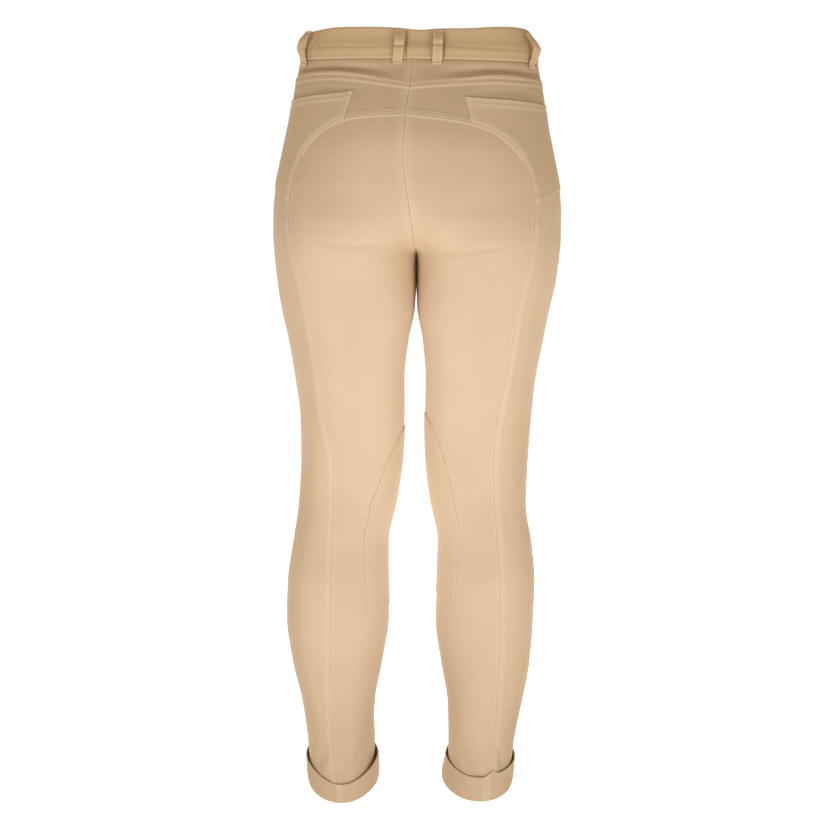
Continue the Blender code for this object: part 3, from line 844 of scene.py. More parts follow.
def smooth_mesh(name: str, points: Array, faces: Array, material: Material) -> bpy.types.Mesh:
    """A smooth-shaded mesh in one material.

    Args:
        name: Its name.
        points: Points in millimetres.
        faces: Rows of point indices.
        material: Its finish.

    Returns:
        The mesh, in metres.
    """
    mesh = bpy.data.meshes.new(name)
    mesh.from_pydata((points * MM).tolist(), [], faces.tolist())
    mesh.shade_smooth()
    mesh.materials.append(material)
    return mesh


@dataclass
class ClothShell:
    """A thin shell of cloth: a net of outer points with its thickness behind it."""

    name: str
    outer: Array
    normals: Array
    thickness: float
    ring: bool = False
    turns_left: bool = False
    bulge: float = 0.05
    rim_depth: float = 0.1
    # painted highlight and painted light at each outer point, as a share of a lighter colour
    painted_light: Array | None = None

    def _layers(self) -> tuple[Array, Array, Array]:
        """Outer points, rounded rim points between the faces, and inner points."""
        inner = self.outer - self.normals * self.thickness
        rim = self.outer - self.normals * (self.thickness * self.rim_depth)
        for edge in Edge:
            if self.ring and edge in (Edge.LEFT, Edge.RIGHT):
                continue
            points = edge.first(rim)
            points[:, 0] += away_from_edge(edge.first(self.outer)) * -self.bulge
        return self.outer, rim, inner

    def _index(self) -> Array:
        """The net's point indices, with the first column again at the end of a ring."""
        rows, columns = self.outer.shape[:2]
        index = np.arange(rows * columns).reshape(rows, columns)
        return np.column_stack([index, index[:, 0]]) if self.ring else index

    def _border(self) -> list[Array]:
        """Runs of net indices along the border, each with the cloth on its left."""
        index = self._index()
        if self.ring:
            return [index[0][::-1], index[-1]]
        return [np.concatenate([index[:, 0], index[-1, 1:], index[-2::-1, -1], index[0, -2::-1]])]

    def _quads(self) -> Array:
        """The outer face's quads of net indices."""
        index = self._index()
        cells = index[:-1, :-1], index[1:, :-1], index[1:, 1:], index[:-1, 1:]
        return np.stack([cell.ravel() for cell in cells], axis=1)

    def build(self, material: Material) -> Thing:
        """Makes the mesh object.

        Args:
            material: Its finish.

        Returns:
            A closed, smooth-shaded object with a UV map in metres of cloth.
        """
        layers = np.vstack([layer.reshape(-1, 3) for layer in self._layers()])
        count = len(layers) // 3
        quads = self._quads()
        faces = [quads, quads[:, ::-1] + 2 * count]
        for run in self._border():
            a, b = run[:-1], run[1:]
            faces.append(np.stack([b, a, a + count, b + count], axis=1))
            faces.append(np.stack([b + count, a + count, a + 2 * count, b + 2 * count], axis=1))
        used, faces = np.unique(np.vstack(faces), return_inverse=True)
        faces = faces.reshape(-1, 4)[:, :: -1 if self.turns_left else 1]
        mesh = smooth_mesh(self.name, layers[used], faces, material)
        self._lay_uv(mesh, np.tile(self._cloth_places(), (3, 1))[used])
        if self.painted_light is not None:
            # the painted highlight and painted light go into a point attribute
            worn = mesh.attributes.new("painted_light", "FLOAT", "POINT")
            worn.data.foreach_set("value", np.tile(self.painted_light, 3)[used].astype(np.float32))
        return put(self.name, mesh)

    def _cloth_places(self) -> Array:
        """Each net point's place on the cloth before it was sewn, in metres."""
        across = np.linalg.norm(np.diff(self.outer, axis=1), axis=2)
        down = np.linalg.norm(np.diff(self.outer, axis=0), axis=2)
        u = np.pad(np.cumsum(across, axis=1), ((0, 0), (1, 0)))
        v = np.pad(np.cumsum(down, axis=0), ((1, 0), (0, 0)))
        return np.stack([u, v], axis=-1).reshape(-1, 2) * MM

    @staticmethod
    def _lay_uv(mesh: bpy.types.Mesh, places: Array) -> None:
        """Gives a mesh its UV map.

        Args:
            mesh: The mesh.
            places: Each point's place on the flat cloth.
        """
        layer = mesh.uv_layers.new(name="Cloth")
        corners = np.zeros(len(mesh.loops), dtype=np.int32)
        mesh.loops.foreach_get("vertex_index", corners)
        layer.uv.foreach_set("vector", places[corners].astype(np.float32).ravel())

    def tree(self) -> BVHTree:
        """A search tree over the outer face, in millimetres."""
        quads = self._quads()[:, :: -1 if self.turns_left else 1]
        return BVHTree.FromPolygons(self.outer.reshape(-1, 3).tolist(), quads.tolist())


# ---- finishes


@dataclass(frozen=True)
class Bench:
    """Lays nodes in a material, a group or the world."""

    tree: Nodes

    def feed(self, node: Node, inputs: dict) -> None:
        """Sets a node's inputs.

        Args:
            node: The node.
            inputs: Numbers, colours or other nodes' outputs, by the input's label or place.
        """
        for key, value in inputs.items():
            if isinstance(value, Socket):
                self.tree.links.new(value, node.inputs[key])
            else:
                node.inputs[key].default_value = value

    def add(self, kind: str, inputs: dict | None = None, **settings: object) -> Node:
        """Adds a node.

        Args:
            kind: Which shader node it is.
            inputs: What it is fed with.
            settings: Its own settings.

        Returns:
            The node.
        """
        node = self.tree.nodes.new(f"ShaderNode{kind}")
        for key, value in settings.items():
            setattr(node, key, value)
        self.feed(node, inputs or {})
        return node

    def math(self, operation: str, *values: Socket | float) -> Socket:
        """The result of one sum."""
        return self.add("Math", dict(enumerate(values)), operation=operation).outputs[0]

    def mix(self, factor: Socket, first: object, second: object) -> Socket:
        """A colour between two, each a colour or another node's output."""
        return self.add("Mix", {0: factor, 6: first, 7: second}, data_type="RGBA").outputs[2]

    def noise(self, where: Socket, scale: Socket | float, detail: float) -> Socket:
        """The values of a soft noise at a place."""
        inputs = {"Vector": where, "Scale": scale, "Detail": detail}
        return self.add("TexNoise", inputs).outputs["Fac"]

    def bump(self, height: Socket, depth: float) -> Socket:
        """The normals of a surface raised by a height of the given depth in metres."""
        return self.add("Bump", {"Distance": depth, "Height": height}).outputs["Normal"]

    def group(self, name: str, **values: float) -> dict[str, Socket]:
        """The outputs of a shared group, placed with its own values."""
        return self.add("Group", values, node_tree=NodeGroups.get(name)).outputs

    def seen(self) -> Socket:
        """1 where the camera looks straight at a glow, and 0 where the glow lights other things."""
        return self.add("LightPath").outputs["Is Camera Ray"]


class NodeGroups:
    """The groups of nodes that the finishes share, each made once."""

    made: dict[str, Nodes] = {}
    # of the twill: its slope, how far the ribs waver, picks in a metre and their share of the height
    slope, waver, picks, pick_height = 1.7, 0.7, 2600.0, 0.35

    @classmethod
    def get(cls, name: str) -> Nodes:
        """The group of that name."""
        if name not in cls.made:
            cls.made[name] = {"Twill": cls._twill, "Tone": cls._tone}[name]()
        return cls.made[name]

    @staticmethod
    def _start(name: str, inputs: dict[str, float], outputs: tuple[str, ...]) -> tuple:
        """An empty group with number sockets.

        Args:
            name: Its name.
            inputs: Its inputs and their usual values.
            outputs: Its outputs.

        Returns:
            Its bench, the outputs of its input node, and its output node.
        """
        group = bpy.data.node_groups.new(name, "ShaderNodeTree")
        for label, value in inputs.items():
            socket = group.interface.new_socket(label, in_out="INPUT", socket_type="NodeSocketFloat")
            socket.default_value = value
        for label in outputs:
            group.interface.new_socket(label, in_out="OUTPUT", socket_type="NodeSocketFloat")
        given = group.nodes.new("NodeGroupInput").outputs
        return Bench(group), given, group.nodes.new("NodeGroupOutput")

    @classmethod
    def _twill(cls) -> Nodes:
        """Slanting ribs crossed by fine picks, on the cloth's own map."""
        bench, given, result = cls._start("Twill", {"Ribs": 1900.0}, ("Height", "Groove"))
        cloth = bench.add("UVMap", uv_map="Cloth").outputs["UV"]
        parts = bench.add("SeparateXYZ", {0: cloth}).outputs
        noise = bench.noise(cloth, 260.0, 1.0)
        slant = bench.math("MULTIPLY_ADD", parts["Y"], cls.slope, parts["X"])
        ribs = bench.math("MULTIPLY", slant, given["Ribs"])
        uneven = bench.math("MULTIPLY_ADD", noise, cls.waver, ribs)
        wave = bench.math("SINE", bench.math("MULTIPLY", uneven, math.tau))
        picks = bench.math("SINE", bench.math("MULTIPLY", parts["Y"], cls.picks * math.tau))
        height = bench.math("MULTIPLY_ADD", picks, cls.pick_height, wave)
        bench.feed(result, {"Height": height, "Groove": bench.math("MULTIPLY_ADD", wave, -0.5, 0.5)})
        return bench.tree

    @classmethod
    def _tone(cls) -> Nodes:
        """Broad clouds, fine grain, and a mask of painted shade that rises towards the waist, each 0 to 1.
        """
        results = ("Clouds", "Grain", "Waist Shade")
        bench, given, result = cls._start("Tone", {"Broad": 9.0, "Fine": 420.0}, results)
        where = bench.add("TexCoord").outputs["Object"]
        level = bench.add("SeparateXYZ", {0: where}).outputs["Z"]
        # painted shade: a mask that rises from 0.20 m to 0.05 m below the origin, towards the waist
        rise = {"From Min": -0.20, "From Max": -0.05, "Value": level}
        bench.feed(result, {
            "Clouds": bench.noise(where, given["Broad"], 3.0),
            "Grain": bench.noise(where, given["Fine"], 2.0),
            "Waist Shade": bench.add("MapRange", rise, interpolation_type="SMOOTHSTEP").outputs["Result"],
        })
        return bench.tree


def shade(colour: Colour, share: float) -> tuple[float, ...]:
    """A colour made darker or lighter, and warmer as it darkens."""
    return (*(min(1.0, part * share ** (1 + 0.2 * k)) for k, part in enumerate(colour)), 1.0)


@dataclass(frozen=True)
class Finish:
    """What every finish has."""

    name: str
    colour: Colour

    def inputs(self, bench: Bench) -> dict:
        """What its shader is fed with."""
        raise NotImplementedError

    def make(self) -> Material:
        """The material."""
        material = bpy.data.materials.new(self.name)
        material.use_nodes = True
        bench = Bench(material.node_tree)
        bench.feed(material.node_tree.nodes["Principled BSDF"], self.inputs(bench))
        return material


@dataclass(frozen=True)
class ClothFinish(Finish):
    """Brushed stretch twill."""

    roughness: float = 0.84
    ribs: float = 1900.0
    weave: float = 0.000022
    clouds: float = 0.09
    # darkening of the twill's grooves: painted shade
    groove: float = 0.14
    grain: float = 0.12
    sheen: float = 0.05
    # how far the cloth is darkened towards the waist: painted shade
    painted_shade: float = 0.22
    shadow: float = 0.45
    # strength of the painted highlight and painted light, and how much lighter their colour is
    painted_light: float = 0.50
    paling: float = 0.115

    def inputs(self, bench: Bench) -> dict:
        """Clouded cloth, with painted shade in its twill grooves and towards the waist, painted highlights
        on its seam ridges and painted light on the inner legs.
        """
        twill = bench.group("Twill", Ribs=self.ribs)
        tone = bench.group("Tone", Broad=9.0, Fine=420.0)
        dark, light = shade(self.colour, 1 - self.clouds), shade(self.colour, 1 + self.clouds)
        cloudy = bench.mix(tone["Clouds"], dark, light)
        fleck = bench.math("MULTIPLY", tone["Grain"], 2 * self.grain)
        # painted shade in the twill's grooves, with the random grain
        grooved = bench.math("MULTIPLY_ADD", twill["Groove"], self.groove, fleck)
        # painted shade towards the waist, on top of the groove shade and the grain
        painted_shade = bench.math("MULTIPLY_ADD", tone["Waist Shade"], self.painted_shade, grooved)
        ribbed = bench.mix(painted_shade, cloudy, shade(self.colour, self.shadow))
        # painted highlight on the seam ridges and painted light on the inner legs, read from the point
        # attribute and mixed towards a lighter colour
        painted_light = bench.add("Attribute", attribute_name="painted_light").outputs["Fac"]
        pale = (*(part + self.paling for part in self.colour), 1.0)
        height = bench.math("MULTIPLY_ADD", tone["Grain"], 0.8, twill["Height"])
        return {
            "Base Color": bench.mix(bench.math("MULTIPLY", painted_light, self.painted_light), ribbed, pale),
            "Roughness": bench.math("MULTIPLY_ADD", twill["Groove"], 0.1, self.roughness - 0.05),
            "Normal": bench.bump(height, self.weave),
            "Sheen Weight": self.sheen,
            "Sheen Roughness": 0.5,
            "Specular IOR Level": 0.25,
        }


@dataclass(frozen=True)
class ThreadFinish(Finish):
    """Spun sewing thread."""

    roughness: float = 0.62
    fuzz: float = 0.00003

    def inputs(self, bench: Bench) -> dict:
        """Slightly mottled, fuzzy thread."""
        tone = bench.group("Tone", Broad=160.0, Fine=5200.0)
        dark, light = shade(self.colour, 0.86), shade(self.colour, 1.12)
        return {
            "Base Color": bench.mix(tone["Clouds"], dark, light),
            "Roughness": bench.math("MULTIPLY_ADD", tone["Grain"], 0.2, self.roughness - 0.1),
            "Normal": bench.bump(tone["Grain"], self.fuzz),
        }


@dataclass(frozen=True)
class ButtonFinish(Finish):
    """Polished plastic with the streaks of horn."""

    roughness: float = 0.30
    scuffs: float = 0.00001

    def inputs(self, bench: Bench) -> dict:
        """Clouded streaks under a fine gloss."""
        where = bench.add("TexCoord").outputs["Object"]
        wave = {"Vector": where, "Scale": 70.0, "Distortion": 7.0, "Detail": 3.0}
        streaks = bench.add("TexWave", wave).outputs["Fac"]
        tone = bench.group("Tone", Broad=300.0, Fine=2400.0)
        mottle = bench.math("MULTIPLY", streaks, tone["Clouds"])
        return {
            "Base Color": bench.mix(mottle, shade(self.colour, 1.15), shade(self.colour, 0.55)),
            "Roughness": bench.math("MULTIPLY_ADD", tone["Grain"], 0.15, self.roughness),
            "Normal": bench.bump(tone["Grain"], self.scuffs),
            "Coat Roughness": 0.15,
        }


@dataclass(frozen=True)
class FloorFinish(Finish):
    """Pale matt floor, which lights the garment less than it glows itself."""

    glow: float = 0.22

    def inputs(self, bench: Bench) -> dict:
        """One colour and a glow."""
        return {
            "Base Color": (*self.colour, 1),
            "Roughness": 0.9,
            "Emission Color": (1, 1, 1, 1),
            "Emission Strength": bench.math("MULTIPLY_ADD", bench.seen(), 1.0 - self.glow, self.glow),
        }


# ---- seams and stitches


@dataclass(frozen=True)
class Seam:
    """A line beside which a piece is shaped, and its rows of stitches."""

    edge: Edge
    line: Array
    relief: SeamRelief
    rows: tuple[float, ...] = ()


@dataclass
class StitchMaker:
    """Lays rows of thread stitches, all copies of one."""

    pitch: float = 3.0
    length: float = 2.35
    radius: float = 0.30
    sink: float = 0.08
    bar_pitch: float = 0.75
    bar_inset: float = 0.4
    # share of the thread's radius at which a bar's stitches lie
    bar_height: float = 0.6
    unit: tuple[Array, Array] = field(init=False)

    def __post_init__(self) -> None:
        """Models one stitch: a small rounded rod along X."""
        bpy.ops.object.select_all(action="DESELECT")
        bpy.ops.mesh.primitive_uv_sphere_add(segments=6, ring_count=4, radius=1.0)
        rod = bpy.context.active_object
        rod.rotation_euler = (0, math.pi / 2, 0)
        bpy.ops.object.transform_apply(location=False, rotation=True, scale=True)
        points = np.array([v.co for v in rod.data.vertices])
        ends = np.sign(points[:, 0]) * (np.abs(points[:, 0]) > 0.3)
        points = points * self.radius
        points[:, 0] += ends * (self.length / 2 - self.radius)
        rod.data.calc_loop_triangles()
        corners = [tuple(triangle.vertices) for triangle in rod.data.loop_triangles]
        # Blender gives a sphere's faces in another order each time, so they are sorted
        self.unit = points, np.array(sorted(min(c, c[1:] + c[:1], c[2:] + c[:2]) for c in corners))
        bpy.data.meshes.remove(rod.data)

    def along(self, line: Array, normals: Array) -> Stitches:
        """Places of stitches along a line on the cloth.

        Args:
            line: Points of the row.
            normals: The cloth's normals there.

        Returns:
            A place, a direction and a normal for each stitch.
        """
        run = lengths_along(line)
        count = int(run[-1] / self.pitch)
        if count < 1:
            return []
        middles = (np.arange(count) + 0.5) * run[-1] / count
        back = sample(line, run, middles - self.length / 2)
        ahead = sample(line, run, middles + self.length / 2)
        normal = unit(sample(normals, run, middles))
        place = (back + ahead) / 2 + normal * (self.radius - 2 * self.sink)
        return list(zip(place, unit(ahead - back), normal))

    def bar(self, line: Array, normals: Array) -> Stitches:
        """A short bar of close stitches laid across a line.

        Args:
            line: The bar's line.
            normals: The cloth's normals there.

        Returns:
            The stitches.
        """
        run = lengths_along(line)
        spots = np.arange(self.bar_inset, run[-1], self.bar_pitch)
        place, normal = sample(line, run, spots), unit(sample(normals, run, spots))
        ahead = unit(np.cross(normal, np.gradient(place, axis=0)))
        return list(zip(place + normal * self.radius * self.bar_height, ahead, normal))

    def make(self, name: str, stitches: Stitches, material: Material) -> Thing:
        """One object with all the given stitches.

        Args:
            name: The object's name.
            stitches: What along and bar gave.
            material: The thread.

        Returns:
            The object.
        """
        place, ahead, normal = (np.array(column) for column in zip(*stitches))
        beside = unit(np.cross(normal, ahead))
        axes = ahead, beside, np.cross(ahead, beside)
        points, faces = self.unit
        turned = sum(points[None, :, k, None] * axis[:, None] for k, axis in enumerate(axes))
        firsts = np.arange(len(place)) * len(points)
        every = (faces[None] + firsts[:, None, None]).reshape(-1, 3)
        everywhere = (turned + place[:, None]).reshape(-1, 3)
        return put(name, smooth_mesh(name, everywhere, every, material))


# ---- sewn pieces


@dataclass
class Workshop:
    """What every piece is made with."""

    form: GarmentForm
    plan: SeamPlan
    creases: CreaseField
    stitcher: StitchMaker
    cloths: dict[str, Material]
    thread: Material


def give(
    shop: Workshop, shell: ClothShell, stitches: Stitches, cloth: str,
) -> None:
    """Makes a shell and its stitching, and gives them to the frame in place of the node of its name.

    Args:
        shop: What pieces are made with.
        shell: The cloth.
        stitches: Its stitches, or none.
        cloth: Which cloth it is cut from.
    """
    piece = shell.build(shop.cloths[cloth])
    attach(piece, BODY)
    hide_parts(shell.name)
    if stitches:
        thread = shop.stitcher.make(f"thread_{shell.name}", stitches, shop.thread)
        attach(thread, BODY)


@dataclass
class SewnPiece:
    """A cut piece of cloth that lies on the garment's form."""

    shop: Workshop
    side: Side
    base_name: str = "piece"
    cloth: str = "body"
    slot: str = "cloth"
    held: str = "stretched"
    thickness: float = 1.4
    lift: float = 0.0
    tuck: float = 0.03
    rests_on: tuple[str, ...] = ()
    # how far a seam shapes the cloth, and how far over the hem the stitches end
    reach: float = 40.0
    stitched_from: float = 36.0
    # painted light on the inner leg, which the lamps leave dim: its strength, the levels that it reaches
    # and how far it fades above and below
    inner_light: float = 1.35
    inner_light_levels: tuple[float, float] = (-240.0, -810.0)
    inner_light_fades: tuple[float, float] = (140.0, 130.0)
    spacing: Spacing = field(default_factory=Spacing)

    @property
    def name(self) -> str:
        """The piece's name, which is its node's."""
        return f"{self.base_name}_{self.side.value}"

    @property
    def form(self) -> GarmentForm:
        """The garment's form."""
        return self.shop.form

    def net(self) -> Array:
        """The piece as rows of (across, level)."""
        raise NotImplementedError

    def seams(self) -> list[Seam]:
        """The lines that shape it."""
        return []

    def turns_left(self) -> bool:
        """Whether its columns run to the left for someone who looks at its outer face."""
        return self.side is Side.LEFT

    def line(self, places: Array) -> Array:
        """Points of the form along a list of (across, level)."""
        return self.form.place(self.side, *places.T)

    def seam(self, edge: Edge, places: Array, relief: SeamRelief, rows: tuple[float, ...] = ()) -> Seam:
        """A seam along a list of (across, level)."""
        return Seam(edge, self.line(places), relief, rows)

    def centre_back(self, edge: Edge, places: Array) -> Seam:
        """The centre back seam, lapped to the left, where its rows of stitches are."""
        left = self.side is Side.LEFT
        return self.seam(edge, places, CENTRE if left else UNDER_CENTRE, CENTRE.dents if left else ())

    def inner_leg(self, across: float) -> Seam:
        """The inner leg seam, where the way round starts (across 0) and ends (across 1)."""
        levels = np.linspace(self.form.crotch, self.form.hem, LEG_POINTS)
        return self.seam(Edge.LEFT, np.column_stack([np.full(LEG_POINTS, across), levels]), PLAIN)

    def under(self, points: Array) -> Array:
        """Height of what lies beneath this piece, at points of the form."""
        return np.zeros(len(points))

    def shape(self) -> tuple[ClothShell, Stitches]:
        """The finished shell, and its stitches."""
        net, seams = self.net(), self.seams()
        rows, columns = net.shape[:2]
        places = net.reshape(-1, 2)
        base, normals = self.line(places), self.form.outward(self.side, *places.T)
        height = self.shop.creases.height(base) + self.lift + self.under(base)
        # painted light on the inner leg, and painted highlight on the ridges beside each seam
        painted_light, distances = self.inner_leg_light(base, normals), []
        for seam in seams:
            away, _ = near_line(base, seam.line, self.reach)
            near = np.minimum(away, self.reach)
            height += seam.relief.height(near)
            painted_light = np.maximum(painted_light, seam.relief.painted_light(near))
            distances.append(np.minimum(away, self.reach + 1).reshape(rows, columns))
        outer = (base + normals * height[:, None]).reshape(rows, columns, 3)
        normals = normals.reshape(rows, columns, 3)
        stitches = []
        for seam, away in zip(seams, distances):
            for distance in seam.rows:
                stitches += self.stitch_row(seam.edge, outer, normals, away, distance)
        shell = ClothShell(
            self.name, self.tucked(outer), normals, self.thickness, turns_left=self.turns_left(),
            painted_light=painted_light,
        )
        return shell, stitches

    def inner_leg_light(self, base: Array, normals: Array) -> Array:
        """Painted light on the cloth that faces the other leg, which the lamps leave dim.

        Args:
            base: Points of the form.
            normals: Its normals there.

        Returns:
            The painted light at each of them.
        """
        # lighter colour painted where the cloth faces the other leg
        facing = np.clip(-self.side.sign * normals[:, 0], 0, 1)
        (top, foot), (above, below), level = self.inner_light_levels, self.inner_light_fades, base[:, 2]
        painted_light = self.inner_light * facing**1.6 * smooth_steps((top - level) / above)
        return painted_light * smooth_steps((level - foot) / below)

    def stitch_row(
        self, edge: Edge, outer: Array, normals: Array, away: Array, distance: float
    ) -> Stitches:
        """Stitches at a distance from a seam.

        Args:
            edge: The net's edge at the seam.
            outer, normals: The net's points and normals.
            away: Each point's distance from the seam.
            distance: The row's distance.

        Returns:
            The stitches.
        """
        gaps = edge.first(away)
        past = gaps >= distance
        first = past.argmax(axis=1)
        rows = np.flatnonzero(past.any(axis=1) & (first > 0))
        if len(rows) < 3:
            return []
        columns = first[rows]
        low, high = gaps[rows, columns - 1], gaps[rows, columns]
        t = ((distance - low) / (high - low))[:, None]
        found = []
        for net in (outer, normals):
            turned = edge.first(net)
            found.append(turned[rows, columns - 1] * (1 - t) + turned[rows, columns] * t)
        keep = found[0][:, 2] > self.form.hem + self.stitched_from
        return self.shop.stitcher.along(found[0][keep], found[1][keep]) if keep.sum() > 2 else []

    def tucked(self, outer: Array) -> Array:
        """The net with its edges moved in along the cloth, so that rims meet and don't cross."""
        moved = outer.copy()
        for edge in Edge:
            points = edge.first(moved)
            points[:, 0] += away_from_edge(edge.first(outer)) * self.tuck
        return moved

    def build(self) -> None:
        """Makes the piece and its stitching, and gives them to the frame."""
        shell, stitches = self.shape()
        give(self.shop, shell, stitches, self.cloth)


@dataclass
class Seat(SewnPiece):
    """Seat and back of the leg, from the curved seat seam to the hem."""

    base_name: str = "seat"
    # lengths that its rows and columns are spaced for
    width: float = 172.0
    depth: float = 228.0

    def net(self) -> Array:
        """Columns from the centre back and inner leg seam to the seat seam and back leg seam."""
        form, plan = self.form, self.shop.plan
        shares = self.spacing.shares(self.width)
        upper = Spacing(wide=3.0).shares(self.depth, end=1.2)
        levels = form.down_leg(plan.centre(0.0, form.seat_centre, upper)[:, 1])
        left = np.column_stack([np.zeros(len(levels)), levels])
        corner = part_way(form.seat_corner, form.crotch, upper)
        right = plan.seat_lower(self.side, form.down_leg(corner))
        down = in_turn((upper, LEG_ROWS), (0.28, 1.0))
        return fill(left, right, down, shares, top=plan.seat_upper(self.side, shares))

    def seams(self) -> list[Seam]:
        """Seat seam, back leg seam, centre back seam and inner leg seam."""
        form, plan, even = self.form, self.shop.plan, np.linspace(0, 1, LINE_POINTS)
        down = np.linspace(form.seat_corner, form.hem, LEG_POINTS)
        return [
            self.seam(Edge.TOP, plan.seat_upper(self.side, even), UNDER),
            self.seam(Edge.RIGHT, plan.seat_lower(self.side, down), UNDER_LEG),
            self.centre_back(Edge.LEFT, plan.centre(0.0, form.seat_centre, even)),
            self.inner_leg(0.0),
        ]


@dataclass
class SidePanel(SewnPiece):
    """Hip and outer leg, from the yoke seam and the seat seam to the hem."""

    base_name: str = "side"
    width: float = 74.0
    seat_seam: float = 168.0
    depth: float = 124.0

    def net(self) -> Array:
        """Columns from the seat seam and back leg seam to the yoke seam and side seam."""
        form, plan = self.form, self.shop.plan
        across = Spacing().shares(self.seat_seam, end=1.6)
        drop = Spacing(wide=3.2).shares(self.depth, 1.6, 1.6)[1:]
        inner = form.down_leg(part_way(form.seat_corner, form.crotch, drop))
        outer = form.down_leg(part_way(form.yoke_side, form.crotch, drop))
        left = np.vstack([plan.seat_upper(self.side, across), plan.seat_lower(self.side, inner)])
        right = np.vstack([plan.yoke(self.side, across), plan.side(self.side, outer)])
        down = in_turn((across, drop, LEG_ROWS), (0.2, 0.35, 1.0))
        return fill(left, right, down, self.spacing.shares(self.width))

    def seams(self) -> list[Seam]:
        """Seat seam, back leg seam, yoke seam, side seam and centre back seam."""
        form, plan, even = self.form, self.shop.plan, np.linspace(0, 1, LINE_POINTS)
        turn = np.linspace(form.seat_corner, STITCHED_TO, 40)[1:]
        stitched = np.vstack([plan.seat_upper(self.side, even), plan.seat_lower(self.side, turn)])
        pressed = plan.seat_lower(self.side, np.linspace(STITCHED_TO, form.hem, LEG_POINTS))
        back = between((0.0, form.yoke_centre), (0.0, form.seat_centre), even)
        down = np.linspace(form.yoke_side, form.hem, LEG_POINTS)
        return [
            self.seam(Edge.LEFT, stitched, LAPPED, LAPPED.dents),
            self.seam(Edge.LEFT, pressed, PRESSED),
            self.seam(Edge.RIGHT, plan.yoke(self.side, even), UNDER),
            self.seam(Edge.RIGHT, plan.side(self.side, down), PLAIN),
            self.centre_back(Edge.TOP, back),
        ]


@dataclass
class Yoke(SewnPiece):
    """Back yoke, between the waistband and the yoke seam."""

    base_name: str = "yoke"
    cloth: str = "yoke"
    width: float = 170.0
    depth: float = 32.0

    def net(self) -> Array:
        """Columns from the centre back to the side seam."""
        form, plan = self.form, self.shop.plan
        shares, down = Spacing(wide=2.4).shares(self.width), Spacing(wide=1.8).shares(self.depth)
        bottom = plan.yoke(self.side, shares)
        left = between((0.0, form.band_foot), bottom[0], down)
        right = between(plan.side_point(self.side, form.band_foot), bottom[-1], down)
        return fill(left, right, down, shares, bottom=bottom)

    def seams(self) -> list[Seam]:
        """Yoke seam, waistband seam, centre back seam and side seam."""
        form, plan, even = self.form, self.shop.plan, np.linspace(0, 1, LINE_POINTS)
        centre, end = (0.0, form.band_foot), plan.side_point(self.side, form.band_foot)
        side = between(end, plan.side_point(self.side, form.yoke_side), even)
        return [
            self.seam(Edge.BOTTOM, plan.yoke(self.side, even), LAPPED_YOKE, LAPPED_YOKE.dents),
            self.seam(Edge.TOP, between(centre, end, even), UNDER_BAND),
            self.centre_back(Edge.LEFT, between(centre, (0.0, form.yoke_centre), even)),
            self.seam(Edge.RIGHT, side, PLAIN),
        ]


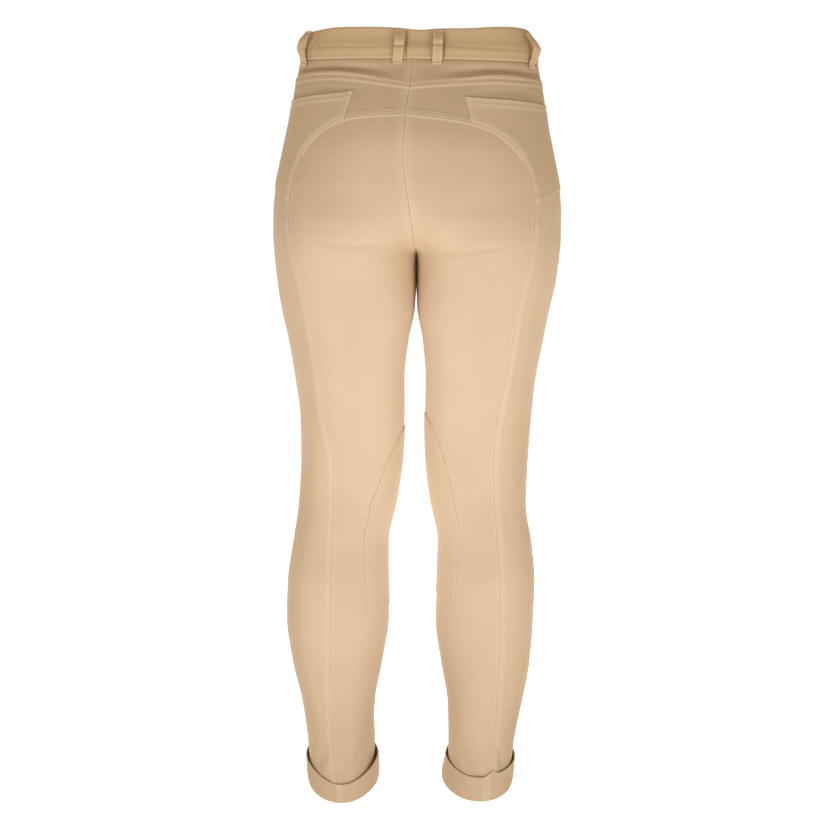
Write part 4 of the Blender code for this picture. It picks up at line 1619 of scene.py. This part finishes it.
@dataclass
class Front(SewnPiece):
    """Front, from the waistband to the hem. The right one carries the fly's stitching."""

    base_name: str = "front"
    width: float = 230.0
    band_part: float = 29.0
    depth: float = 240.0
    # distance from the centre, level
    fly: Table = ((36, -21), (36, -70), (35, -120), (31, -150), (21, -172), (7, -186), (1.5, -190))
    fly_rows: tuple[float, float] = (0.0, 5.0)
    # nearer the centre than this, a row that is set in is higher too, by a share of its inset
    fly_turn: float = 30.0
    fly_rise: float = 0.9
    # inset, height, width: the groove of each row, and the allowance beneath
    fly_relief: Table = ((0.0, -0.4, 0.9), (5.0, -0.4, 0.9), (2.5, 0.4, 3.0))
    fly_reach: float = 20.0

    def turns_left(self) -> bool:
        """Its columns run the other way round the body."""
        return self.side is Side.RIGHT

    def net(self) -> Array:
        """Columns from the centre front and inner leg seam to the side seam."""
        form, plan = self.form, self.shop.plan
        top_part = Spacing(wide=2.2).shares(self.band_part, end=1.4)
        drop = Spacing(wide=3.0).shares(self.depth, 1.4, 1.6)[1:]
        whole = plan.centre(1.0, form.band_foot, np.linspace(0, 1, LEG_POINTS))
        run = lengths_along(self.line(whole))
        upper = np.concatenate([top_part * self.band_part, part_way(self.band_part, run[-1], drop)])
        levels = form.down_leg(np.interp(upper, run, whole[:, 1]))
        left = np.column_stack([np.ones(len(levels)), levels])
        start, end = self._hip()
        outer = form.down_leg(part_way(form.yoke_side, form.crotch, drop))
        right = np.vstack([between(start, end, top_part), plan.side(self.side, outer)])
        down = in_turn((top_part, drop, LEG_ROWS), (0.03, 0.28, 1.0))
        return fill(left, right, down, self.spacing.shares(self.width))

    def _hip(self) -> tuple[Array, Array]:
        """The side seam's points at the band's foot and at the yoke's end."""
        plan, form = self.shop.plan, self.form
        return plan.side_point(self.side, form.band_foot), plan.side_point(self.side, form.yoke_side)

    def seams(self) -> list[Seam]:
        """Waistband seam, side seam, centre front seam and inner leg seam."""
        form, plan, even = self.form, self.shop.plan, np.linspace(0, 1, 200)
        start, end = self._hip()
        down = plan.side(self.side, np.linspace(form.yoke_side, form.hem, LEG_POINTS))
        side = np.vstack([between(start, end, even[::8])[:-1], down])
        relief = LAPPED if self.side is Side.RIGHT else UNDER
        return [
            self.seam(Edge.TOP, between((1.0, form.band_foot), start, even), UNDER_BAND),
            self.seam(Edge.RIGHT, side, PLAIN),
            self.seam(Edge.LEFT, plan.centre(1.0, form.band_foot, even), relief, relief.dents[:1]),
            self.inner_leg(1.0),
        ]

    def _fly_row(self, inset: float) -> Array:
        """A row of the fly's stitching, on the form."""
        rise, end = inset * self.fly_rise, self.fly[-1][0]
        curve = spline([(max(d - inset, end), z + rise * (d < self.fly_turn)) for d, z in self.fly])
        return self.line(self.form.on(self.side, Half.FRONT, at_shares(curve, np.linspace(0, 1, 120))))

    def under(self, points: Array) -> Array:
        """The fly's allowance beneath the right front, and the groove of each row."""
        height = super().under(points)
        for inset, lift, width in self.fly_relief if self.side is Side.RIGHT else ():
            away, _ = near_line(points, self._fly_row(inset), self.fly_reach)
            height += lift * bell(np.minimum(away, self.fly_reach), width)
        return height

    def shape(self) -> tuple[ClothShell, Stitches]:
        """The right front also has the fly's curved rows."""
        shell, stitches = super().shape()
        if self.side is Side.RIGHT:
            tree = shell.tree()
            for inset in self.fly_rows:
                found = [tree.find_nearest(point) for point in self._fly_row(inset)]
                places, normals = (np.array([hit[k] for hit in found]) for k in (0, 1))
                stitches += self.shop.stitcher.along(places, normals)
        return shell, stitches


@dataclass
class Patch(SewnPiece):
    """A flat piece laid on other cloth, with its corners barred."""

    cloth: str = "patch"
    slot: str = "patch"
    thickness: float = 0.9
    lift: float = 1.15
    tuck: float = 0.1
    # its size, and the widest steps of its mesh, down and across
    size: tuple[float, float] = (140.0, 78.0)
    steps: tuple[float, float] = (2.2, 2.2)
    # points of each edge
    points: int = 121
    # rows and columns of the net on which the bars lie
    bar_rows: tuple[int, int] = (1, 6)
    bar_columns: tuple[int, int] = (3, -7)

    def edges(self) -> tuple[Array, ...]:
        """Left, right, top and bottom edge as (across, level), all with as many points."""
        raise NotImplementedError

    def net(self) -> Array:
        """Columns from the left edge to the right edge."""
        down, shares = (Spacing(wide=w).shares(size) for w, size in zip(self.steps, self.size))
        even = np.linspace(0, 1, self.points)
        left, right, top, bottom = self.edges()
        rows = [sample(edge, even, down) for edge in (left, right)]
        columns = [sample(edge, even, shares) for edge in (top, bottom)]
        return fill(*rows, down, shares, *columns)

    def shape(self) -> tuple[ClothShell, Stitches]:
        """Two corners are barred."""
        shell, stitches = super().shape()
        rows = slice(*self.bar_rows)
        for column in self.bar_columns:
            stitches += self.shop.stitcher.bar(shell.outer[rows, column], shell.normals[rows, column])
        return shell, stitches


@dataclass
class Pocket(Patch):
    """Patch pocket on the hip, sewn into the seat seam."""

    base_name: str = "pocket"
    # distance from the centre, level: top and foot of the inner edge
    inner: dict[Side, Table] = each_side(((80.8, -58.5), (92.2, -97.2)), ((58, -65), (64, -99.2)))
    # levels of the outer edge's top and foot, and of the foot's start on the seat seam
    outer: dict[Side, tuple[float, ...]] = each_side((-70, -178, -199), (-72, -177, -198))
    # across, from the inner edge's foot to the seat seam's next point, and from the side seam
    corner_gap: float = 0.004
    side_margin: float = 0.0105

    def edges(self) -> tuple[Array, ...]:
        """Inner edge and seat seam, outer edge, top and foot."""
        form, plan, even = self.form, self.shop.plan, np.linspace(0, 1, self.points)
        inner_top, inner_foot = self.inner[self.side]
        outer_top, outer_foot, seat_foot = self.outer[self.side]
        upper = plan.seat_upper(self.side, np.linspace(0, 1, 300))
        start = form.find_across(self.side, Half.BACK, *inner_foot)
        upper = upper[upper[:, 0] > start + self.corner_gap]
        lower = plan.seat_lower(self.side, np.linspace(form.seat_corner, seat_foot, 60)[1:])
        inner = form.on(self.side, Half.BACK, between(inner_top, inner_foot, even))
        left = np.vstack([inner, upper, lower])
        right = plan.side(self.side, part_way(outer_top, outer_foot, even)) - (self.side_margin, 0.0)
        run = lengths_along(self.line(left))
        return (
            sample(left, run, even * run[-1]), right, between(left[0], right[0], even),
            between(left[-1], right[-1], even),
        )

    def under(self, points: Array) -> Array:
        """The side panel's raised allowance along the seat seam."""
        curve = self.shop.plan.seat_upper(self.side, np.linspace(0, 1, 200))
        lower = np.linspace(self.form.seat_corner, self.form.crotch, 60)[1:]
        curve = np.vstack([curve, self.shop.plan.seat_lower(self.side, lower)])
        away, _ = near_line(points, self.line(curve), 30.0)
        return LAPPED.pad * (1 - smooth_steps((away - LAPPED.pad_width) / 8.0))

    def seams(self) -> list[Seam]:
        """Its four edges."""
        left, right, top, bottom = self.edges()
        foot = PATCH if self.side is Side.RIGHT else HIDDEN_FOOT
        return [
            self.seam(Edge.LEFT, left, PATCH, PATCH.dents),
            self.seam(Edge.RIGHT, right, CAUGHT),
            self.seam(Edge.TOP, top, POCKET_TOP, POCKET_TOP.dents),
            self.seam(Edge.BOTTOM, bottom, foot, PATCH.dents[:1]),
        ]


@dataclass
class KneePatch(Patch):
    """Patch on the inner side of the knee, round the inner leg seam."""

    base_name: str = "knee_patch"
    size: tuple[float, float] = (275.0, 125.0)
    steps: tuple[float, float] = (3.0, 2.8)
    points: int = 161
    bar_rows: tuple[int, int] = (-7, -1)
    bar_columns: tuple[int, int] = (4, -5)
    # distance from the centre, level
    outline: dict[Side, Table] = each_side(
        ((14.2, -490), (28.6, -519), (36, -534), (55, -586), (64, -626), (62.5, -672), (57, -734)),
        ((14.2, -472), (25.5, -492), (34, -512), (47, -560), (58, -610), (58.5, -650), (55, -716)),
    )
    # level of the foot at the inner leg seam
    foot: dict[Side, float] = each_side(-722.0, -706.0)

    def edges(self) -> tuple[Array, ...]:
        """Back, front, top and foot."""
        even = np.linspace(0, 1, self.points)
        outline = at_shares(np.array(self.outline[self.side], float), even)
        back = self.form.on(self.side, Half.BACK, outline)
        front = self.form.on(self.side, Half.FRONT, outline) - (1.0, 0.0)
        bottom = between(back[-1], front[-1], even)
        bottom[:, 1] += (self.foot[self.side] - bottom[:, 1]) * np.sin(math.pi * even)
        return back, front, between(back[0], front[0], even), bottom

    def turns_left(self) -> bool:
        """Its columns run from the back over the inner side to the front."""
        return self.side is Side.RIGHT

    def seams(self) -> list[Seam]:
        """Its edges."""
        back, front, _, bottom = self.edges()
        sewn = (Edge.LEFT, back), (Edge.RIGHT, front), (Edge.BOTTOM, bottom)
        return [self.seam(edge, places, KNEE, KNEE.dents) for edge, places in sewn]


# ---- strips


@dataclass
class Waistband:
    """One strip round the waist, whose right end laps over its left end at the centre front."""

    shop: Workshop
    name: str = "waistband"
    thickness: float = 2.6
    proud: float = 0.6
    lap: float = 32.0
    rise_from: float = 63.0
    rise_length: float = 55.0
    gap: float = 0.35
    half_girth: float = 420.0
    step: float = 2.6
    fold_reach: float = 4.2
    # how far its foot is above the seam
    foot_gap: float = 0.3
    # share of the top edge's rise that the front has
    front_rise: float = 0.35
    # how much the top leans in, past a distance from the centre plane and a share of the height
    lean: float = 22.0
    lean_from: float = 108.0
    lean_fade: float = 40.0
    lean_above: float = 0.55
    # distances from the centre back of the folds beside the loops
    drawn_in: dict[Side, tuple[float, float]] = each_side((17.2, 135.0), (29.8, 142.5))
    # distance to the left of the centre plane, how far the top edge rises there
    top_rise: Table = (
        (155, -1), (130, 0.5), (96, 2.4), (60, 2.2), (25, 0.8), (0, -1.2), (-22, 0.6), (-60, 2.0),
        (-100, 5.3), (-130, 6.3), (-155, 5.5),
    )

    def _columns(self, side: Side) -> Array:
        """Places across a half, closer together where the cloth is drawn in beside a loop."""
        form, offsets = self.shop.form, np.arange(-self.fold_reach, self.fold_reach + 0.1, 0.7)
        drawn = [
            form.find_across(side, Half.BACK, distance + offset, 0.0)
            for distance in self.drawn_in[side]
            for offset in offsets
        ]
        even = np.linspace(0, 1, int(self.half_girth / self.step))
        apart = np.abs(even[:, None] - drawn).min(axis=1) * self.half_girth
        return np.unique(np.concatenate([even[apart > 0.75], drawn]))

    def _stretches(self) -> list[tuple[Side, Array, Array]]:
        """The way round as (side, across, lift off the form)."""
        form = self.shop.form
        full = self.thickness + self.gap
        left, half = self._columns(Side.LEFT), self._columns(Side.RIGHT)
        x, y, _ = form.place(Side.RIGHT, half[1:], 0.0).T
        rise = np.where(y < 0, smooth_steps((self.rise_from + x) / self.rise_length), 0.0)
        places = np.linspace(0, self.lap, 20)[1:]
        lapping = np.array([form.find_across(Side.LEFT, Half.FRONT, d, 0.0) for d in places])
        return [
            (Side.LEFT, left[::-1], np.zeros(len(left))),
            (Side.RIGHT, half[1:], rise * full),
            (Side.LEFT, lapping, np.full(len(lapping), full)),
        ]

    def build(self) -> None:
        """Makes the band and its row of stitches."""
        form = self.shop.form
        foot = form.band_foot + self.foot_gap
        levels = part_way(form.band_top, foot, Spacing(0.6, 1.4).shares(form.band_top - foot))
        relief = BAND_TOP.height(form.band_top - levels) + BAND_FOOT.height(levels - form.band_foot)
        outer, normals = [], []
        for side, across, lift in self._stretches():
            u, v = np.meshgrid(across, levels)
            share = (v - form.band_foot) / (form.band_top - form.band_foot)
            x, y, _ = np.moveaxis(form.place(side, u, v), -1, 0)
            backward = part_way(self.front_rise, 1.0, smooth_steps((y + 20) / 60))
            v = v + read(self.top_rise, 1, x) * backward * np.maximum(share, 0) ** 1.5
            base, normal = form.place(side, u, v), form.outward(side, u, v)
            lean = self.lean * smooth_steps((np.abs(x) - self.lean_from) / self.lean_fade)
            lean = lean * np.maximum(share - self.lean_above, 0) ** 1.6
            height = self.proud + lift[None] + relief[:, None] - lean
            height = height + self.shop.creases.height(base)
            outer.append(base + normal * height[..., None])
            normals.append(normal)
        outer, normals = np.concatenate(outer, axis=1), np.concatenate(normals, axis=1)
        shell = ClothShell(self.name, outer, normals, self.thickness)
        row = int(np.argmin(np.abs(levels - (form.band_foot + BAND_FOOT.dents[0]))))
        stitches = self.shop.stitcher.along(outer[row], normals[row])
        give(self.shop, shell, stitches, cloth="band")


@dataclass
class BeltLoop:
    """A pressed strip that stands off the waistband, sewn down at both ends."""

    shop: Workshop
    name: str
    side: Side
    half: Half
    distance: float
    twist: tuple[float, float] = (0.0, 0.0)
    dent: float = 1.3
    dent_at: float = -4.0
    sway: float = 0.0
    stand: float = 1.0
    width: float = 11.8
    length: float = 52.0
    thickness: float = 1.8
    # middle and half height of the part that stands off the band
    middle: float = -2.0
    half_height: float = 14.0
    # where the lower twist gives way to the upper one
    twist_from: float = -14.0
    twist_length: float = 18.0
    dent_width: float = 2.2
    # of the bulge: distance above the dent, width, height
    bulge: tuple[float, float, float] = (6.0, 3.5, 0.5)
    # level, gap between the form and the loop's inner face
    rise: Table = (
        (-26, 0.5), (-21.5, 1.2), (-15.5, 5.4), (-9, 8.0), (-2, 8.4), (6, 7.6), (13, 4.4), (18, 1.1),
    )

    def build(self) -> None:
        """Makes the loop, with a row of stitches along each edge and a bar at each end."""
        form = self.shop.form
        across = form.find_across(self.side, self.half, self.distance, 0.0)
        path = at_shares(spline(self.rise, 16), Spacing(0.5, 1.1).shares(self.length))
        shares = Spacing(0.35, 1.0).shares(self.width) - 0.5
        levels = path[:, 0]
        base = form.place(self.side, across, levels)
        out = form.outward(self.side, np.full(len(levels), across), levels)
        beside = unit(np.cross((0.0, 0.0, 1.0), out))
        raised = bell(levels - self.middle, self.half_height)
        edge = (0.5 - np.abs(shares)) * self.width
        upper, lower = self.twist
        up = smooth_steps((levels - self.twist_from) / self.twist_length)
        turn = (raised * part_way(lower, upper, up))[:, None]
        gap = path[:, 1] * (1 + (self.stand - 1) * raised)
        above, wide, high = self.bulge
        gap = gap - self.dent * bell(levels - self.dent_at, self.dent_width)
        gap = gap + high * bell(levels - self.dent_at - above, wide)
        spread = shares[None] * self.width
        height = gap[:, None] + self.thickness + np.sin(turn) * spread
        height = height + LOOP_EDGE.height(edge)
        slide = np.cos(turn) * spread + self.sway * raised[:, None]
        outer = base[:, None] + out[:, None] * height[..., None] + beside[:, None] * slide[..., None]
        down, right = np.gradient(outer, axis=0), np.gradient(outer, axis=1)
        normals = unit(np.cross(right, down))
        shell = ClothShell(self.name, outer, normals, self.thickness, turns_left=True)
        stitches, row_at = [], LOOP_EDGE.dents[0]
        for inset in (row_at, self.width - row_at):
            column = int(np.argmin(np.abs((shares + 0.5) * self.width - inset)))
            stitches += self.shop.stitcher.along(outer[:, column], normals[:, column])
        for row in (2, -3):
            stitches += self.shop.stitcher.bar(outer[row, 2:-2], normals[row, 2:-2])
        give(self.shop, shell, stitches, cloth="band")


@dataclass(frozen=True)
class CuffFit:
    """How one cuff hangs: room off the leg and heights, each on one side of it."""

    top_inner: float
    top_outer: float
    low_inner: float
    dip: float
    drop: float
    notch: float = 0.0


@dataclass
class Cuff:
    """Turned-up cuff with the section of a hook, round the leg's lower end."""

    shop: Workshop
    side: Side
    fit: CuffFit
    thickness: float = 1.5
    columns: int = 240
    girth: float = 290.0
    section_length: float = 41.0
    # unevenness of the top edge's height, and of its room off the leg
    wave: float = 0.5
    sway: float = 0.4
    # across, from the back leg seam to the notch
    notch_at: float = 0.022
    # distance out from the leg, height over the hem
    section: Table = (
        (-0.2, 1.0), (0.9, 0.1), (2.4, 0.5), (3.4, 3.0), (3.6, 12.0), (3.0, 23.0), (2.3, 34.0),
    )

    @property
    def name(self) -> str:
        """Its node's name."""
        return f"cuff_{self.side.value}"

    def _around(self) -> Array:
        """Places across, one for each column."""
        return np.linspace(0, 1, self.columns, endpoint=False)

    def _back_seam(self) -> float:
        """Across of the back leg seam at the hem."""
        return self.shop.plan.seat_lower(self.side, np.array([self.shop.form.hem]))[0, 0]

    def _seams_away(self) -> Array:
        """Distance from the nearest of the leg's seams, which run on through the cuff."""
        side_seam = float(self.shop.form.side_seam(self.side, self.shop.form.hem))
        places = np.array([self._back_seam(), side_seam, 0.0, 1.0])
        return np.abs(self._around()[:, None] - places).min(axis=1) * self.girth

    def _middle(self, section: Array) -> Array:
        """The net half way through the cloth.

        Args:
            section: The cuff's section, from the fold up.

        Returns:
            Rows of points from the fold up.
        """
        form, fit, around = self.shop.form, self.fit, self._around()
        out, height = section[:, 0][:, None], section[:, 1][:, None]
        up = smooth_steps(height / section[-1, 1])
        facing = form.outward(self.side, around, np.full_like(around, form.hem))
        back = np.maximum(0.0, facing[:, 1]) ** 1.4
        inner = np.maximum(0.0, -facing[:, 0] * self.side.sign) ** 2
        outer = np.maximum(0.0, facing[:, 0] * self.side.sign) ** 2
        turn = around * math.tau
        notch = fit.notch * bell(around - self._back_seam() - self.notch_at, self.notch_at)
        level = form.hem + height - fit.drop * back * (1 - up)
        level = level + up * (self.wave * np.sin(3 * turn + 1.0) + notch - fit.dip * back)
        across = np.broadcast_to(around, level.shape)
        upper = fit.top_inner * inner + fit.top_outer * outer + self.sway * np.sin(5 * turn + 0.4)
        lower = fit.low_inner * inner * smooth_steps(height / 4.0)
        room = out + up * upper + (1 - up) * lower + CUFF_SEAM.height(self._seams_away())
        normal = form.outward(self.side, across, level)
        return form.place(self.side, across, level) + normal * room[..., None]

    def build(self) -> None:
        """Makes the cuff and the bars that tack its top edge to the leg's seams."""
        section = at_shares(spline(self.section, 16), Spacing(0.5, 1.4).shares(self.section_length))
        middle = self._middle(section)
        wrapped = np.concatenate([middle[:, -1:], middle, middle[:, :1]], axis=1)
        down, along = np.gradient(wrapped, axis=0), np.gradient(wrapped, axis=1)
        normals = (unit(np.cross(down, along)) * self.side.sign)[:, 1:-1]
        outer = middle + normals * self.thickness / 2
        away = self._seams_away()
        shell = ClothShell(
            self.name, outer, normals, self.thickness, ring=True, turns_left=self.side is Side.RIGHT,
            # painted highlight on the ridge of each seam that runs through the cuff
            painted_light=np.tile(0.8 * bell(away - 2.0, 1.2), len(section)),
        )
        stitches = []
        for column in np.flatnonzero((away < np.roll(away, 1)) & (away <= np.roll(away, -1))):
            stitches += self.shop.stitcher.bar(outer[-8:-2, column], normals[-8:-2, column])
        give(self.shop, shell, stitches, cloth="body")


# ---- button


@dataclass
class WaistButton:
    """Sew-through button with a raised rim, on the waistband's lapping end."""

    shop: Workshop
    material: Material
    name: str = "waist_button"
    at: float = 16.0
    lift: float = 4.05
    radius: float = 7.5
    thick: float = 2.6
    rim: float = 1.6
    dish: float = 0.7
    hole: float = 0.85
    spread: float = 1.35

    def _frame(self) -> Matrix:
        """The button's place: Z out of the band, at the middle of its underside."""
        form = self.shop.form
        across = np.array([form.find_across(Side.LEFT, Half.FRONT, self.at, 0.0)])
        normal = form.outward(Side.LEFT, across, np.zeros(1))[0]
        place = form.place(Side.LEFT, across, 0.0)[0] + normal * self.lift
        turn = Vector(normal).to_track_quat("Z", "Y").to_matrix().to_4x4()
        return Matrix.Translation(Vector(place) * MM) @ turn

    def _cylinder(self, vertices: int, radius: float, depth: float, x: float, y: float) -> Thing:
        """A cylinder round the disc's middle height.

        Args:
            vertices: Its sides.
            radius, depth: Its size.
            x, y: Its axis.

        Returns:
            The cylinder, selected and active.
        """
        bpy.ops.object.select_all(action="DESELECT")
        bpy.ops.mesh.primitive_cylinder_add(
            vertices=vertices, radius=radius * MM, depth=depth * MM,
            location=(x * MM, y * MM, self.thick * MM / 2),
        )
        return bpy.context.active_object

    def _disc(self) -> Thing:
        """The dished disc with its rim, before the holes."""
        disc = self._cylinder(64, self.radius, self.thick, 0.0, 0.0)
        disc.name = self.name
        bpy.ops.object.transform_apply(location=True, rotation=True, scale=True)
        bpy.ops.object.mode_set(mode="EDIT")
        work = bmesh.from_edit_mesh(disc.data)
        for face in work.faces:
            face.select = face.normal.z > 0.9
        bmesh.update_edit_mesh(disc.data)
        bpy.ops.mesh.inset(thickness=self.rim * MM, depth=0)
        bpy.ops.mesh.inset(thickness=0.5 * MM, depth=-self.dish * MM)
        bpy.ops.object.mode_set(mode="OBJECT")
        soften = disc.modifiers.new("Rim", "BEVEL")
        soften.width = 0.45 * MM
        soften.segments = 3
        soften.angle_limit = math.radians(35)
        bpy.ops.object.modifier_apply(modifier="Rim")
        return disc

    def _drill(self, disc: Thing) -> None:
        """Makes four holes for the thread.

        Args:
            disc: The button's disc.
        """
        for x, y in ((1, 1), (-1, 1), (-1, -1), (1, -1)):
            drill = self._cylinder(20, self.hole, 3 * self.thick, x * self.spread, y * self.spread)
            hole = disc.modifiers.new("Hole", "BOOLEAN")
            hole.operation = "DIFFERENCE"
            hole.object = drill
            bpy.context.view_layer.objects.active = disc
            bpy.ops.object.modifier_apply(modifier="Hole")
            bpy.data.objects.remove(drill, do_unlink=True)

    def _sew(self, frame: Matrix) -> Thing:
        """Two crossed pairs of thread between the holes.

        Args:
            frame: The button's place.

        Returns:
            The thread as a mesh.
        """
        height, arch = self.thick - self.dish - 0.35, Vector((0, 0, 0.75))
        curve = bpy.data.curves.new(f"thread_{self.name}", "CURVE")
        curve.dimensions = "3D"
        curve.bevel_depth = 0.24 * MM
        curve.bevel_resolution = 2
        for x, y in ((1, 1), (-1, 1)):
            for offset in (-0.25, 0.25):
                a = Vector((x * self.spread + offset, y * self.spread - offset * x, height))
                b = Vector((-x * self.spread + offset, -y * self.spread - offset * x, height))
                run = curve.splines.new("NURBS")
                run.points.add(2)
                run.order_u = 3
                run.use_endpoint_u = True
                for knot, point in zip(run.points, (a, (a + b) / 2 + arch, b)):
                    knot.co = (*(frame @ (point * MM)), 1.0)
        cord = put(curve.name, curve)
        mesh = bpy.data.meshes.new_from_object(cord.evaluated_get(bpy.context.evaluated_depsgraph_get()))
        mesh.materials.clear()
        mesh.materials.append(self.shop.thread)
        thread = put(curve.name, mesh)
        bpy.data.objects.remove(cord, do_unlink=True)
        return thread

    def build(self) -> None:
        """Makes the button and its thread."""
        frame = self._frame()
        disc = self._disc()
        self._drill(disc)
        disc.data.transform(frame)
        disc.data.materials.clear()
        disc.data.materials.append(self.material)
        bpy.ops.object.select_all(action="DESELECT")
        disc.select_set(True)
        bpy.context.view_layer.objects.active = disc
        bpy.ops.object.shade_smooth_by_angle(angle=math.radians(32))
        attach(disc, BODY)
        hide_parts(self.name)
        thread = self._sew(frame)
        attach(thread, BODY)
        LOG.info("%s: %.0f mm across, four holes, sewn on", self.name, 2 * self.radius)


# ---- studio


@dataclass(frozen=True)
class SoftLight:
    """A large soft light that looks at a point of the garment."""

    name: str
    place: tuple[float, float, float]
    aim: tuple[float, float, float]
    size: tuple[float, float]
    power: float
    spread: float = 58.0
    colour: Colour = (1.0, 1.07, 1.18)

    def hang(self) -> None:
        """Puts it up."""
        lamp = bpy.data.lights.new(self.name, "AREA")
        lamp.shape = "RECTANGLE"
        lamp.size, lamp.size_y = self.size
        lamp.energy = self.power
        lamp.color = self.colour
        lamp.spread = math.radians(self.spread)
        thing = put(self.name, lamp)
        thing.location = self.place
        thing.visible_camera = False
        aim = Vector(self.aim) - Vector(self.place)
        thing.rotation_euler = aim.to_track_quat("-Z", "Y").to_euler()

    def opposite(self) -> "SoftLight":
        """The same light on the other side of the garment."""
        x, y, z = self.place
        return replace(self, name=f"front_{self.name}", place=(-x, -y, z))


@dataclass(frozen=True)
class Studio:
    """White room, soft lights, pale floor and the camera."""

    centre: tuple[float, float, float] = (-0.0003, 0.0, -0.4750)
    distance: float = 3.2
    elevation: float = 5.0
    roll: float = 0.72
    lens: float = 106.0
    floor_gap: float = 0.50
    ambient: float = 0.57
    warmth: Colour = (1.0, 0.87, 0.66)
    floor: FloorFinish = FloorFinish("pale floor", (0.92, 0.92, 0.92))
    lights: tuple[SoftLight, ...] = (
        SoftLight("key", (0.88, 1.48, -1.12), (0.0, 0.0, -0.36), (0.9, 0.6), 1.76),
        SoftLight("fill", (-0.92, 1.48, -1.16), (0.0, 0.0, -0.43), (0.9, 0.6), 1.80),
    )

    def build(self, foot: float) -> None:
        """Sets up everything.

        Args:
            foot: The garment's lowest height.
        """
        scene = bpy.context.scene
        scene.view_settings.view_transform = "Standard"
        self._light_room(scene)
        self._lay_floor(foot - self.floor_gap)
        for light in (*self.lights, *(light.opposite() for light in self.lights)):
            light.hang()
        self._place_camera(scene)

    def _light_room(self, scene: bpy.types.Scene) -> None:
        """A white room whose light on the garment is dimmer than what is seen of it.

        Args:
            scene: The scene that it is for.
        """
        world = scene.world = bpy.data.worlds.new("Studio")
        world.use_nodes = True
        bench = Bench(world.node_tree)
        bench.feed(world.node_tree.nodes["Background"], {
            "Color": bench.mix(bench.seen(), (*self.warmth, 1), (1, 1, 1, 1)),
            "Strength": bench.math("MULTIPLY_ADD", bench.seen(), 1.05 - self.ambient, self.ambient),
        })

    def _lay_floor(self, level: float) -> None:
        """A wide pale floor.

        Args:
            level: Its height.
        """
        bpy.ops.object.select_all(action="DESELECT")
        bpy.ops.mesh.primitive_circle_add(vertices=96, radius=9.0, fill_type="NGON", location=(0, 0, level))
        floor = bpy.context.active_object
        floor.name = "floor"
        floor.data.materials.append(self.floor.make())
        floor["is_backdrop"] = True

    def _place_camera(self, scene: bpy.types.Scene) -> None:
        """The camera behind the garment, a little above its middle.

        Args:
            scene: The scene that it is for.
        """
        lens = bpy.data.cameras.new("camera")
        lens.lens = self.lens
        lens.sensor_width = 36.0
        lens.clip_end = 60.0
        camera = put("camera", lens)
        tilt = math.radians(self.elevation)
        away = Vector((0, math.cos(tilt), math.sin(tilt))) * self.distance
        camera.location = Vector(self.centre) + away
        turn = (-away).to_track_quat("-Z", "Y").to_matrix()
        turn = turn @ Matrix.Rotation(math.radians(self.roll), 3, "Z")
        camera.rotation_euler = turn.to_euler()
        scene.camera = camera


# ---- the garment


def make_shop() -> Workshop:
    """The form, the seam plan, the creases, the thread and the cloths."""
    form = GarmentForm()
    body = ClothFinish("beige stretch twill", (0.690, 0.511, 0.342))
    patch = ClothFinish("patch twill", (0.680, 0.502, 0.330), painted_shade=0.08)
    # the yoke and band cloths are darker copies of the body twill: painted shade at the waist, which the
    # lamps light less
    yoke = ClothFinish("shaded yoke twill", (0.655, 0.470, 0.295), ribs=1800.0)
    band = ClothFinish("shaded band twill", (0.655, 0.470, 0.283), ribs=1700.0, painted_shade=0.0)
    thread = ThreadFinish("beige thread", (0.84, 0.67, 0.48))
    cloths = {"body": body.make(), "patch": patch.make(), "yoke": yoke.make(), "band": band.make()}
    return Workshop(
        form, SeamPlan(form), CreaseField(form, worn_creases()), StitchMaker(), cloths, thread.make()
    )


def belt_loops(shop: Workshop) -> list[BeltLoop]:
    """The six loops, each as it hangs."""
    left, right, back, front = Side.LEFT, Side.RIGHT, Half.BACK, Half.FRONT
    hung = (
        (left, back, "back", 24.8, (0.06, 0.0), {"dent": 1.8, "width": 12.6}),
        (right, back, "back", 22.3, (-0.05, 0.03), {"dent": 1.4, "dent_at": -1.5, "width": 12.6}),
        (left, back, "side", 140.5, (-0.75, -0.70), {"dent": 0.5, "dent_at": -14.0, "stand": 1.1}),
        (right, back, "side", 137.0, (0.15, 0.85), {
            "dent": 0.8, "dent_at": -9.0, "sway": 3.0, "stand": 1.35,
        }),
        (left, front, "front", 68.0, (-0.03, 0.02), {"dent": 0.9}),
        (right, front, "front", 68.0, (0.04, 0.0), {"dent": 1.0, "dent_at": -6.0}),
    )
    return [
        BeltLoop(shop, f"belt_loop_{place}_{side.value}", side, half, distance, twist, **bends)
        for side, half, place, distance, twist, bends in hung
    ]


def main() -> None:
    """Builds the whole picture."""
    logging.basicConfig(level=logging.INFO, format="%(name)s %(message)s")
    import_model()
    cad_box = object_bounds()
    shop = make_shop()
    for side in Side:
        under = (f"side_{side.value}",)
        knee = (f"seat_{side.value}", f"front_{side.value}")
        for piece in (
            Seat(shop, side), SidePanel(shop, side), Yoke(shop, side), Front(shop, side),
            Pocket(shop, side, rests_on=under), KneePatch(shop, side, rests_on=knee),
        ):
            piece.build()
    Cuff(shop, Side.LEFT, CuffFit(4.0, 0.8, 3.5, dip=13.5, drop=3.0)).build()
    Cuff(shop, Side.RIGHT, CuffFit(0.2, 0.8, 3.2, dip=3.5, drop=-1.5, notch=5.0)).build()
    Waistband(shop).build()
    for loop in belt_loops(shop):
        loop.build()
    WaistButton(shop, ButtonFinish("horn button", (0.42, 0.29, 0.17)).make()).build()
    Studio().build(cad_box[0][2])


if __name__ == "__main__":
    main()
